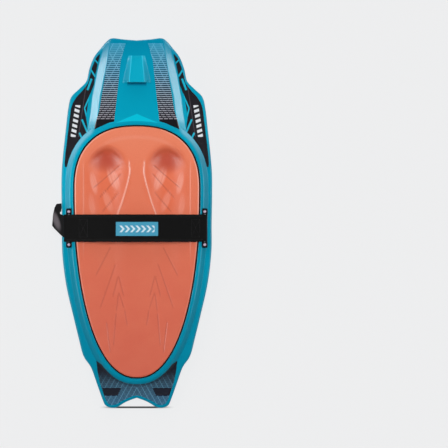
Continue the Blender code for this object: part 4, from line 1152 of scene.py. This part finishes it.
class Look:
    """A material under construction, with shorthand for its nodes."""

    def __init__(self, name, **settings):
        self.material = bpy.data.materials.new(name)
        self.material.use_nodes = True
        self.tree = self.material.node_tree
        self.shader = self.tree.nodes["Principled BSDF"]
        coordinates = self.tree.nodes.new("ShaderNodeTexCoord")
        self.place = coordinates.outputs["Object"]
        self.uv = coordinates.outputs["UV"]
        self.paint(**settings)

    def feed(self, slot, value):
        if isinstance(value, Wire):
            value = value.socket
        if isinstance(value, bpy.types.NodeSocket):
            self.tree.links.new(value, slot)
        else:
            slot.default_value = value

    def paint(self, **settings):
        for name, value in settings.items():
            self.feed(self.shader.inputs[name.replace("_", " ")], value)

    def split(self, vector):
        node = self.tree.nodes.new("ShaderNodeSeparateXYZ")
        self.feed(node.inputs[0], vector)
        return [Wire(self, socket) for socket in node.outputs]

    def join(self, x, y, z=0.0):
        node = self.tree.nodes.new("ShaderNodeCombineXYZ")
        for slot, value in zip(node.inputs, (x, y, z)):
            self.feed(slot, value)
        return node.outputs[0]

    def noise(self, scale, detail=3.0, roughness=0.5, vector=None):
        node = self.tree.nodes.new("ShaderNodeTexNoise")
        self.feed(node.inputs["Vector"], vector or self.place)
        self.feed(node.inputs["Scale"], scale)
        self.feed(node.inputs["Detail"], detail)
        self.feed(node.inputs["Roughness"], roughness)
        return Wire(self, node.outputs["Fac"])

    def cells(self, scale):
        node = self.tree.nodes.new("ShaderNodeTexVoronoi")
        self.feed(node.inputs["Vector"], self.place)
        self.feed(node.inputs["Scale"], scale)
        return Wire(self, node.outputs["Distance"])

    def attribute(self, name):
        node = self.tree.nodes.new("ShaderNodeAttribute")
        node.attribute_name = name
        return Wire(self, node.outputs["Fac"])

    def facing_up(self):
        """1 where the surface faces up, 0 where it is upright, -1 where it faces down."""
        node = self.tree.nodes.new("ShaderNodeNewGeometry")
        return self.split(node.outputs["Normal"])[2]

    def stripe(self, x, y, segment, half_width, soft):
        """1 within half_width of a straight segment, given in millimetres."""
        x1, y1, x2, y2 = (value * MM for value in segment)
        length = math.hypot(x2 - x1, y2 - y1)
        ahead, aside = (x2 - x1) / length, (y2 - y1) / length
        along = (x - x1) * ahead + (y - y1) * aside - length / 2
        across = (x - x1) * aside - (y - y1) * ahead
        return (across.absolute().step(half_width + soft, half_width - soft)
                * along.absolute().step(length / 2 + soft, length / 2 - soft))

    def spot(self, aside, ahead, low, high):
        """1 inside an ellipse with its middle at aside = ahead = 0, softened between two squared radii."""
        return (aside * aside + ahead * ahead).step(low, high)

    def mix(self, share, first, second):
        node = self.tree.nodes.new("ShaderNodeMix")
        node.data_type = "RGBA"
        self.feed(node.inputs["Factor"], share)
        self.feed(node.inputs[6], first)
        self.feed(node.inputs[7], second)
        return node.outputs[2]

    def ramp(self, value, stops):
        node = self.tree.nodes.new("ShaderNodeValToRGB")
        low, high = stops[0][0], stops[-1][0]
        self.feed(node.inputs[0], (value - low) / (high - low))
        elements = node.color_ramp.elements
        while len(elements) < len(stops):
            elements.new(0.5)
        for element, (place, colour) in zip(elements, stops):
            element.position = (place - low) / (high - low)
            element.color = colour
        return node.outputs[0]

    def bump(self, height, distance, strength=1.0):
        node = self.tree.nodes.new("ShaderNodeBump")
        self.feed(node.inputs["Height"], height)
        self.feed(node.inputs["Distance"], distance)
        self.feed(node.inputs["Strength"], strength)
        self.feed(self.shader.inputs["Normal"], node.outputs[0])


# The shell's teal along y: its own colour with painted light and shade, lightest just ahead of the middle and
# darker towards the nose and the tail.
TEAL_STOPS = [(-0.62, srgb(0, 122, 150)), (-0.3, srgb(0, 132, 160)), (0.0, srgb(0, 150, 178)),
              (0.15, srgb(0, 166, 196)), (0.3, srgb(0, 160, 190)), (0.42, srgb(0, 154, 184)),
              (0.52, srgb(0, 148, 180)), (0.62, srgb(0, 138, 172))]
# Colours of painted shade (DEEP_TEAL) and painted highlight (PALE_TEAL) on the shell.
DEEP_TEAL = srgb(0, 112, 140)
PALE_TEAL = srgb(60, 205, 235)
LIP_FRONT = 346.5 * MM              # y of the lip's front edge on the centre line
LIP_FRONT_CURVE = -1.08


def front_highlight_and_shade(look, colour, ax, y, deck):
    """Painted highlight on the facet ahead of the lip, and painted shade on the front of the lip itself."""
    lip_front = ax * ax * LIP_FRONT_CURVE + LIP_FRONT
    # painted highlight: the facet ahead of the lip is paler, as if lit from the nose
    facet = (ax / FACET_HALF_WIDTH + (y - LIP_FRONT) / (FACET_DEPTH + RIM_FRONT_SLOPE)).step(1.03, 0.97)
    facet = facet * (y - lip_front).step(-0.5 * MM, 0.5 * MM) * deck
    colour = look.mix(facet * 0.5, colour, srgb(0, 214, 236))
    # painted shade: the front of the lip is darker
    painted_lip_front_shade = (y - lip_front).step(0.5 * MM, -0.5 * MM) * y.step(0.28, 0.32) * deck
    return look.mix(painted_lip_front_shade * 0.2, colour, DEEP_TEAL)


def hook_highlights(look, colour, ax, y, deck):
    """Painted highlights on the tow hook: paler flanks, a paler top and pale edges between them."""
    ahead = y - HOOK_REAR
    on_hook = ahead.step(0.0, 1.5 * MM) * (y - HOOK_FRONT).step(0.5 * MM, -1.0 * MM) * deck
    beyond_top = ax + ahead * HOOK_TOP_TAPER - HOOK_TOP_MM[0][1] * MM
    hook_top = beyond_top.step(1 * MM, -1 * MM) * on_hook
    hook_base = (ax + ahead * HOOK_BASE_TAPER - HOOK_BASE_MM[0][1] * MM).step(1 * MM, -1 * MM) * on_hook
    # painted highlight: the hook's flanks and top are paler than the deck, as if lit
    colour = look.mix(hook_base * (hook_top * -1.0 + 1.0) * 0.45, colour, srgb(60, 195, 225))
    colour = look.mix(hook_top * 0.35, colour, srgb(0, 190, 215))
    # painted highlight along the hook's edges
    return look.mix(beyond_top.absolute().step(2.2 * MM, 1.4 * MM) * on_hook * 0.6, colour, PALE_TEAL)


def shell_look():
    """Teal plastic with painted light and shade by place, and gloss only on the slopes beside the nose
    platform.
    """
    look = Look("moulded_teal", Coat_Roughness=0.16)
    x, y, z = look.split(look.place)
    ax = x.absolute()
    up = look.facing_up()
    deck = up.step(0.0, 0.2)
    colour = front_highlight_and_shade(look, look.ramp(y, TEAL_STOPS), ax, y, deck)
    colour = hook_highlights(look, colour, ax, y, deck)
    # painted highlight: the rim's outer slope is paler, as if lit from the side
    colour = look.mix(look.attribute("painted_rim_highlight") * deck, colour, srgb(140, 212, 238))
    ahead = y - HOOK_REAR
    # painted shadow: the deck behind the hook's rear face, where the slot is, is darker
    slot = ax.step(35 * MM, 30 * MM) * ahead.step(1 * MM, -1 * MM) * ahead.step(-13 * MM, -4 * MM)
    colour = look.mix(slot * deck * 0.6, colour, srgb(0, 60, 104))
    cloud = look.noise(9.0, 4.0).step(0.35, 0.7)
    colour = look.mix(cloud * 0.06, colour, srgb(16, 190, 216))
    # painted shade: the deck's right side is darker over the middle of the board's length
    painted_right_shade = x.step(0.0, 0.23) * y.step(-0.16, -0.02) * y.step(0.32, 0.2)
    colour = look.mix(painted_right_shade * deck * 0.5, colour, DEEP_TEAL)
    # painted light: upright faces, such as the rail's sides, are paler
    colour = look.mix(up.absolute().step(0.65, 0.15) * 0.5, colour, srgb(60, 205, 232))
    slope_line = y * -PLATFORM_TAPER + (PLATFORM_HALF_WIDTH + PLATFORM_Y * PLATFORM_TAPER)
    gloss = (ax - slope_line).absolute().step(22 * MM, 16 * MM) * y.step(0.33, 0.36) * deck
    look.paint(Base_Color=colour, Roughness=look.noise(60.0, 4.0) * 0.08 + 0.26,
               Specular_IOR_Level=gloss * 0.13 + 0.09, Coat_Weight=gloss * 0.11 + 0.02)
    peel = look.noise(320.0, 2.0) * 0.5 + look.noise(38.0, 3.0)
    scuff = look.noise(1.0, 5.0, 0.6, look.join(x * 900.0, y * 60.0, z * 60.0)).step(0.62, 0.72)
    look.bump(peel * 0.1 + scuff * 0.02, 0.5 * MM, 0.4)
    return look.material


# Painted highlights of the right knee well, shaped as lighter flutes: centre x, y, half length, half width in
# millimetres, heading x, y, and strength.
FLUTE_HIGHLIGHTS = [(80, 156, 50, 19, -28, -74, 0.62), (146, 138, 44, 13, -8, -40, 0.42),
          (98, 76, 44, 16, -22, -60, 0.34), (152, 62, 46, 12, -5, -40, 0.25)]
# The pad's coral along y: its own colour with painted light, lighter towards the front.
PAD_STOPS = [(-0.52, srgb(206, 94, 70)), (-0.2, srgb(218, 104, 76)), (0.05, srgb(230, 116, 82)),
             (0.2, srgb(238, 126, 90)), (0.33, srgb(241, 134, 98))]


def pad_look():
    """Coral foam with painted light and shade: darker wells, pale flutes, a dark front hollow, dark grooves
    and pale edges.
    """
    look = Look("moulded_foam", Specular_IOR_Level=0.5)
    x, y, _ = look.split(look.place)
    ax = x.absolute()
    # painted shade: the knee wells are a deeper, more saturated orange
    painted_well_shade = look.spot((ax - 0.1) / 0.085, (y - 0.155) / 0.125, 1.15, 0.5)
    colour = look.mix(painted_well_shade * 0.4, look.ramp(y, PAD_STOPS), srgb(228, 92, 38))
    streaks = look.noise(1.0, 2.0, 0.5, look.join(ax * 230.0 - y * 80.0, y * 9.0, 0.0)).step(0.35, 0.65)
    for centre_x, centre_y, half_length, half_width, head_x, head_y, strength in FLUTE_HIGHLIGHTS:
        size = math.hypot(head_x, head_y)
        east, north = ax - centre_x * MM, y - centre_y * MM
        along = (east * (head_x / size) + north * (head_y / size)) / (half_length * MM)
        across = (east * (head_y / size) - north * (head_x / size)) / (half_width * MM)
        # painted highlight: a paler flute, broken up by streaks
        flute = look.spot(across, along, 1.1, 0.1) * (streaks * 0.45 + 0.55)
        colour = look.mix(flute * strength, colour, srgb(255, 184, 166))
    # painted shade: a dark hollow under the steep front wall of each well
    hollow = look.spot((ax - 0.102) / 0.064, (y - 0.216) / 0.05, 1.15, -0.25)
    colour = look.mix(hollow, colour, srgb(180, 58, 38))
    # painted shade in the bottoms of the grooves
    colour = look.mix(look.attribute("painted_groove_shade") * 0.5, colour, srgb(156, 56, 40))
    # painted highlight on the pad's raised edges
    colour = look.mix(look.attribute("painted_crest_highlight"), colour, srgb(255, 204, 188))
    mottle = look.noise(14.0, 4.0).step(0.3, 0.75)
    colour = look.mix(mottle * 0.08, colour, srgb(242, 150, 112))
    grain = look.cells(900.0)
    colour = look.mix((grain * 0.25).limited(), colour, srgb(170, 70, 48))
    look.paint(Base_Color=colour, Roughness=look.noise(45.0, 3.0) * 0.1 + 0.4)
    look.bump(grain * 0.6 + look.noise(420.0, 3.0) * 0.8 + look.noise(70.0, 2.0) * 0.5, 0.35 * MM, 0.45)
    return look.material


def foam_look(name, colour, shade, scale, roughness=0.85):
    look = Look(name, Roughness=roughness, Specular_IOR_Level=0.25)
    grain = look.cells(scale)
    look.paint(Base_Color=look.mix((grain * 1.2).limited(), shade, colour))
    look.bump(grain + look.noise(scale * 0.3, 3.0) * 0.6, 0.4 * MM, 0.6)
    return look.material


INK = srgb(26, 23, 30)
PRINT_PITCH = 6.76 * MM             # between the rows of the nose and tail prints


def nose_print_look():
    """Rows of dark dashes that thin out towards the nose, with pale lines between and slanting gaps."""
    look = Look("nose_print", Roughness=0.34, Specular_IOR_Level=0.35)
    x, y, _ = look.split(look.place)
    ax = x.absolute()
    fade = ((y - 0.36) / 0.25).limited()
    line = ((fade * 0.10 + 0.15 - (y / PRINT_PITCH).from_line()) * 26.0).limited()
    breaks = ((ax + y * 0.8) / (17 * MM)).from_line()
    line = line * (((fade * 0.3 + 0.43) - breaks) * 14.0).limited()
    first = ((ax + y * 0.55) / (25 * MM)).from_line()
    second = ((ax - y * 0.55) / (50 * MM)).from_line()
    width = fade * 0.10
    gaps = ((width - first) * 20.0).limited().maximum(((width * 0.6 - second) * 26.0).limited())
    ink = look.ramp(y, [(0.35, srgb(14, 13, 20)), (0.43, srgb(8, 22, 34)), (0.47, srgb(10, 48, 68)),
                        (0.52, srgb(14, 84, 112)), (0.57, srgb(18, 116, 148)), (0.61, srgb(16, 140, 176))])
    pale = look.ramp(y, [(0.35, srgb(196, 192, 204)), (0.42, srgb(176, 190, 204)),
                         (0.5, srgb(130, 184, 210)), (0.61, srgb(78, 170, 202))])
    light = line.maximum(gaps) * y.step(0.3505, 0.3515)
    look.paint(Base_Color=look.mix(light, ink, pale))
    look.bump(look.noise(300.0, 2.0) - light * 0.3, 0.15 * MM, 0.25)
    return look.material


# Half width and ends (x, y, x, y) of each teal stripe on the right wing, in millimetres.
WING_STRIPES = [
    (2.2, (150, 562, 128, 538)), (2.6, (162, 531, 140, 496)), (3.4, (153, 490, 167, 452)),
    (2.4, (155, 440, 177, 391)), (2.4, (177, 391, 167, 350)), (3.0, (186, 353, 166, 306)),
    (3.0, (195, 308, 180, 278)),
]
WING_LINE_LEAN = -25 / 163          # how the grey line and the bars lean in towards the nose
WING_LINE_Y = 457 * MM
WING_LINE_X = 173 * MM
WING_BAR_X = 191 * MM


def wing_print_look():
    """Dark film with teal stripes, a grey line and a column of plain slanted bars."""
    look = Look("wing_print", Roughness=0.32, Specular_IOR_Level=0.45)
    x, y, _ = look.split(look.place)
    ax = x.absolute()
    accent = None
    for half_width, segment in WING_STRIPES:
        stripe = look.stripe(ax, y, segment, half_width * MM, 0.5 * MM)
        accent = stripe if accent is None else accent.maximum(stripe)
    lean = (y - WING_LINE_Y) * WING_LINE_LEAN
    grey = (ax - lean - WING_LINE_X).absolute().step(0.9 * MM, 0.4 * MM)
    grey = grey * y.step(0.292, 0.296) * y.step(0.47, 0.46)
    from_bar = ax - lean - WING_BAR_X
    slant = (y - from_bar * 0.35) / (17 * MM)
    bars = slant.from_line().step(0.30, 0.26) * from_bar.absolute().step(9.0 * MM, 8.2 * MM)
    bars = bars * y.step(0.293, 0.295) * y.step(0.402, 0.400)
    colour = look.mix(accent, INK, srgb(10, 176, 204))
    colour = look.mix(grey * 0.6, colour, srgb(120, 110, 120))
    colour = look.mix(bars, colour, srgb(225, 228, 232))
    look.paint(Base_Color=colour, Roughness=look.noise(80.0, 3.0) * 0.1 + 0.28)
    look.bump(look.noise(300.0, 2.0), 0.15 * MM, 0.25)
    return look.material


TAIL_STOPS = [(-0.61, srgb(14, 64, 102)), (-0.59, srgb(12, 42, 74)), (-0.56, srgb(12, 24, 50)),
              (-0.53, srgb(12, 15, 32)), (-0.47, srgb(14, 14, 26))]
TAIL_BLOCK_Y = -570.4 * MM


def tail_print_look():
    """Dark blue film with a pale grid that fades in towards the tail, and a plain dark block on each side."""
    look = Look("tail_print", Roughness=0.34, Specular_IOR_Level=0.45)
    x, y, _ = look.split(look.place)
    ax = x.absolute()
    row = (y / PRINT_PITCH).from_line().step(0.2, 0.36)
    slant = ((ax + y * 0.55) / (18 * MM)).from_line().step(0.40, 0.46)
    back = ((ax - y * 0.8) / (18 * MM)).from_line().step(0.42, 0.47)
    grid = slant.maximum(back * 0.5).maximum(row * 0.75) * y.step(-0.49, -0.575)
    colour = look.mix(grid * 0.66, look.ramp(y, TAIL_STOPS), srgb(96, 156, 184))
    inner_x = (y - TAIL_BLOCK_Y) * -0.5 + 59.1 * MM
    block = (ax - inner_x).step(-0.5 * MM, 0.5 * MM) * ax.step(117.5 * MM, 116 * MM)
    block = block * (y - TAIL_BLOCK_Y).absolute().step(13.4 * MM, 12.4 * MM)
    look.paint(Base_Color=look.mix(block, colour, srgb(16, 20, 34)))
    look.bump(look.noise(300.0, 2.0), 0.15 * MM, 0.25)
    return look.material


RIB_PITCH = 1.25 * MM
CORD_PITCH = 2.6 * MM


def webbing_look(name, dark, light, painted_sheen=None):
    """Woven ribs, and an optional painted sheen highlight in millimetres: centre x, y, lean, half width and
    half length.
    """
    look = Look(name, Roughness=0.8, Specular_IOR_Level=0.12)
    u, v, _ = look.split(look.uv)
    ribs = (u * (2 * math.pi / RIB_PITCH) + v.wave(2 * CORD_PITCH) * 1.2).sine() * 0.5 + 0.5
    cords = v.wave(CORD_PITCH) * 0.5 + 0.5
    weave = ribs * 0.6 + cords * 0.4
    fuzz = look.noise(700.0, 3.0)
    colour = look.mix((weave * 0.7 + fuzz * 0.3).limited(), dark, light)
    if painted_sheen:
        x, y, lean, half_x, half_y = painted_sheen
        aside = (u - x * MM + (v - y * MM) * lean) / (half_x * MM)
        ahead = (v - y * MM) / (half_y * MM)
        # painted sheen highlight: a soft paler grey patch, as if catching the light
        sheen = look.spot(aside, ahead, 1.0, 0.0)
        colour = look.mix(sheen * sheen * 0.55, colour, srgb(136, 128, 134))
    look.paint(Base_Color=colour)
    look.bump(weave + fuzz * 0.5 + look.noise(40.0, 2.0) * 1.2, 0.5 * MM, 0.6)
    return look.material


def knit_look(name, dark, light):
    look = Look(name, Roughness=0.85, Specular_IOR_Level=0.2, Sheen_Weight=0.3, Sheen_Roughness=0.5)
    u, v, _ = look.split(look.uv)
    pitch = 1.5 * MM
    course = (v * (2 * math.pi / pitch) + u.wave(pitch) * 0.9).sine() * 0.5 + 0.5
    fuzz = look.noise(900.0, 2.0)
    look.paint(Base_Color=look.mix((course * 0.6 + fuzz * 0.4).limited(), dark, light))
    look.bump(course + fuzz * 0.6, 0.35 * MM, 0.6)
    return look.material


def tape_look(name, dark, light):
    look = Look(name, Roughness=0.9, Specular_IOR_Level=0.15, Sheen_Weight=0.5, Sheen_Roughness=0.6)
    tufts = look.cells(850.0)
    look.paint(Base_Color=look.mix((tufts * 1.1).limited(), light, dark))
    look.bump(tufts * -1.0 + look.noise(300.0, 4.0) * 0.8, 0.8 * MM, 0.8)
    return look.material


def label_look():
    """Blue woven label with a row of plain pale chevrons."""
    look = Look("label_print", Roughness=0.6, Specular_IOR_Level=0.35, Sheen_Weight=0.1, Sheen_Roughness=0.4)
    x, y, _ = look.split(look.place)
    centre = (LABEL_LOW.y + LABEL_HIGH.y) / 2
    from_middle = (y - centre).absolute()
    chevron = ((x - (LABEL_X[0] + LABEL_X[1]) / 2) + from_middle * 0.9) / (18 * MM)
    bars = chevron.from_line().step(0.24, 0.2)
    bars = bars * from_middle.step(11.5 * MM, 11 * MM) * x.absolute().step(60 * MM, 59.5 * MM)
    threads = x.wave(0.7 * MM) * y.wave(0.7 * MM) * 0.5 + 0.5
    colour = look.mix(look.noise(26.0, 3.0) * 0.3, srgb(52, 150, 184), srgb(76, 170, 200))
    colour = look.mix(bars, colour, srgb(206, 226, 234))
    colour = look.mix(threads * 0.12, colour, srgb(30, 90, 110))
    look.paint(Base_Color=colour)
    look.bump(threads + bars * 0.6 + look.noise(60.0, 2.0), 0.2 * MM, 0.5)
    return look.material


def plastic_look(name, colour, light):
    look = Look(name, Specular_IOR_Level=0.2)
    grain = look.noise(900.0, 3.0)
    wear = look.noise(120.0, 4.0).step(0.5, 0.75)
    look.paint(Base_Color=look.mix(wear * 0.5, colour, light), Roughness=grain * 0.15 + 0.37)
    look.bump(grain + look.cells(1400.0) * 0.4, 0.2 * MM, 0.4)
    return look.material


def metal_look(name, colour, tint, roughness, knurl=False, metallic=1.0):
    look = Look(name, Metallic=metallic)
    x, y, z = look.split(look.place)
    streak = look.noise(1.0, 4.0, 0.6, look.join(x * 2500.0, y * 150.0, z * 2500.0))
    look.paint(Base_Color=look.mix(streak, colour, tint), Roughness=streak * 0.2 + roughness)
    relief = streak * 0.3
    if knurl:
        relief = relief + z.wave(1.2 * MM) * 0.5
    look.bump(relief, 0.2 * MM, 0.5)
    return look.material


def thread_look(name, dark, light):
    look = Look(name, Roughness=0.6, Specular_IOR_Level=0.35, Sheen_Weight=0.2, Sheen_Roughness=0.4)
    x, y, z = look.split(look.place)
    twist = ((x + y) * (2 * math.pi / (0.8 * MM)) + z * 4000.0).sine() * 0.5 + 0.5
    look.paint(Base_Color=look.mix(twist, dark, light))
    look.bump(twist, 0.15 * MM, 0.6)
    return look.material


def floor_look():
    """Pale paper, lit from below so that it stays even, with a thin painted shadow at the board's tail."""
    look = Look("studio_floor", Roughness=0.95, Specular_IOR_Level=0.0, Emission_Strength=FLOOR_GLOW)
    x, y, _ = look.split(look.place)
    behind = y + HALF_LENGTH + 1.5 * MM
    # painted shadow: a thin dark line on the floor behind the tail
    shadow = x.absolute().step(132 * MM, 60 * MM) * behind.absolute().step(4.5 * MM, 1.5 * MM)
    paper = look.mix(look.noise(3.0, 2.0) * 0.3, srgb(104, 104, 104), srgb(107, 107, 107))
    look.paint(Base_Color=look.mix(shadow, paper, srgb(20, 20, 22)),
               Emission_Color=look.mix(shadow * 0.96, (0.985, 0.99, 1.0, 1), srgb(20, 21, 24)))
    return look.material


# ---------------------------------------------------------------- putting pieces and looks together
def cover(obj, material):
    obj.data.materials.clear()
    obj.data.materials.append(material)


def dress(obj, material, body, node=None):
    """Gives a piece its material and its body, and hides the CAD node that it stands for."""
    cover(obj, material)
    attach(obj, body)
    if node:
        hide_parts(node)


def repaint(node, material):
    """Keeps the CAD's own mesh, with a material."""
    cover(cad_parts[node], material)


teal = shell_look()
dress(make_shell(), teal, "board", "shell")
underlay, cushion = make_pad()
dress(underlay, foam_look("underlay_foam", srgb(30, 28, 30), srgb(16, 15, 17), 900.0), "board",
      "pad_base")
dress(cushion, pad_look(), "board", "knee_pad")
prints = {"nose": nose_print_look(), "wing": wing_print_look(), "tail": tail_print_look()}
for plate, node in make_decals():
    dress(plate, prints[node.split("_")[0]], "board", node)

BRASS = (0.75, 0.55, 0.25, 1), (0.6, 0.42, 0.18, 1)
nylon = plastic_look("bracket_nylon", srgb(7, 11, 19), srgb(20, 24, 32))
steel = metal_look("bar_steel", (0.3, 0.3, 0.31, 1), (0.2, 0.2, 0.21, 1), 0.5)
screw_steel = metal_look("screw_steel", srgb(206, 184, 204), srgb(184, 164, 184), 0.5, metallic=0.3)
for word, bar in (("left", BAR_LEFT), ("right", BAR_RIGHT)):
    dress(make_bracket(word, bar), nylon, "board", f"strap_bracket_{word}")
    for end, turn in (("front", 0.35), ("rear", 1.05)):
        node = f"screw_{word}_{end}"
        dress(make_screw(f"fixing_{word}_{end}", node, turn), screw_steel, "board", node)
        repaint(f"insert_{word}_{end}", metal_look(f"insert_brass_{word}_{end}", *BRASS, 0.3, knurl=True))
    repaint(f"bracket_bar_{word}", steel)
repaint("foam_core", foam_look("core_foam", srgb(228, 214, 176), srgb(196, 180, 140), 500.0))
repaint("fill_plug", foam_look("plug_rubber", srgb(28, 28, 30), srgb(20, 20, 22), 1200.0, 0.7))

tab_weave = webbing_look("pull_tab_weave", srgb(10, 10, 11), srgb(26, 26, 28), painted_sheen=(-273, 10, 0.3, 17, 46))
weave = webbing_look("strap_webbing_weave", srgb(2, 2, 2), srgb(10, 10, 11))
webbing, padding, label, loop = make_strap()
dress(webbing, weave, "strap", "strap_webbing")
knit = knit_look("padding_knit", srgb(18, 18, 20), srgb(44, 44, 48))
dress(padding, knit, "strap", "strap_padding")
dress(label, label_look(), "strap", "strap_label")
tape = tape_look("loop_tape_pile", srgb(22, 22, 24), srgb(52, 52, 56))
dress(loop, tape, "strap", "loop_patch")
anchor, patch = make_anchor()
dress(anchor, weave, "anchor", "anchor_strap")
dress(patch, tape, "anchor", "hook_patch")
tab, lining = make_tab()
dress(tab, tab_weave, "tab", "pull_tab")
fleece = tape_look("tab_fleece_pile", srgb(86, 86, 90), srgb(140, 140, 146))
dress(lining, fleece, "tab", "tab_lining")
strap_seams, label_seams = make_seams()
dress(strap_seams, thread_look("strap_thread", srgb(8, 8, 9), srgb(26, 26, 28)), "strap")
dress(label_seams, thread_look("label_thread", srgb(40, 130, 160), srgb(96, 184, 208)), "strap")

# ---------------------------------------------------------------- studio
scene = bpy.context.scene
scene.view_settings.view_transform = "Standard"

bpy.ops.mesh.primitive_plane_add(size=60, location=(0, 0, SHELL_LOW.z - 0.6 * MM))
floor = bpy.context.object
floor.name = "studio_floor"
floor.data.materials.append(floor_look())


def sun(name, direction, strength, spread, diffuse=True, glossy=True):
    """A distant light from a direction given as azimuth (0 is +X, 90 is +Y) and elevation, in degrees."""
    lamp = bpy.data.lights.new(name, "SUN")
    lamp.energy = strength
    lamp.angle = math.radians(spread)
    obj = bpy.data.objects.new(name, lamp)
    obj.visible_diffuse = diffuse
    obj.visible_glossy = glossy
    azimuth, elevation = (math.radians(a) for a in direction)
    towards = Vector((math.cos(azimuth) * math.cos(elevation), math.sin(azimuth) * math.cos(elevation),
                      math.sin(elevation)))
    obj.rotation_euler = (-towards).to_track_quat("-Z", "Y").to_euler()
    scene.collection.objects.link(obj)


sun("overhead_softbox", (90, 86), 2.2, 14, glossy=False)
sun("nose_fill", (90, 45), 0.45, 50, glossy=False)
sun("left_fill", (180, 40), 0.4, 40, glossy=False)
sun("right_fill", (0, 40), 0.08, 40, glossy=False)
sun("left_strip", (180, 40), 3.1, 24, diffuse=False)
sun("right_strip", (0, 40), 2.35, 24, diffuse=False)


def studio_world():
    """Pale walls all round and a dark ceiling, where the camera is."""
    world = bpy.data.worlds.new("studio_world")
    world.use_nodes = True
    tree = world.node_tree
    direction = tree.nodes.new("ShaderNodeTexCoord")
    split = tree.nodes.new("ShaderNodeSeparateXYZ")
    fall = tree.nodes.new("ShaderNodeMapRange")
    fall.interpolation_type = "SMOOTHSTEP"
    levels = {"From Min": 0.55, "From Max": 0.85, "To Min": WALL_LIGHT, "To Max": CEILING_LIGHT}
    for name, value in levels.items():
        fall.inputs[name].default_value = value
    tree.links.new(direction.outputs["Generated"], split.inputs[0])
    tree.links.new(split.outputs["Z"], fall.inputs["Value"])
    background = tree.nodes["Background"]
    background.inputs["Color"].default_value = (0.97, 0.985, 1.0, 1)
    tree.links.new(fall.outputs["Result"], background.inputs["Strength"])
    return world


scene.world = studio_world()

lens = bpy.data.cameras.new("long_lens")
lens.lens = 200
lens.sensor_width = 36
lens.shift_x = 0.1946                  # the board stands left of the middle of the frame
camera = bpy.data.objects.new("camera", lens)
camera.location = (0.0, -0.001, 8.49)
scene.collection.objects.link(camera)
scene.camera = camera
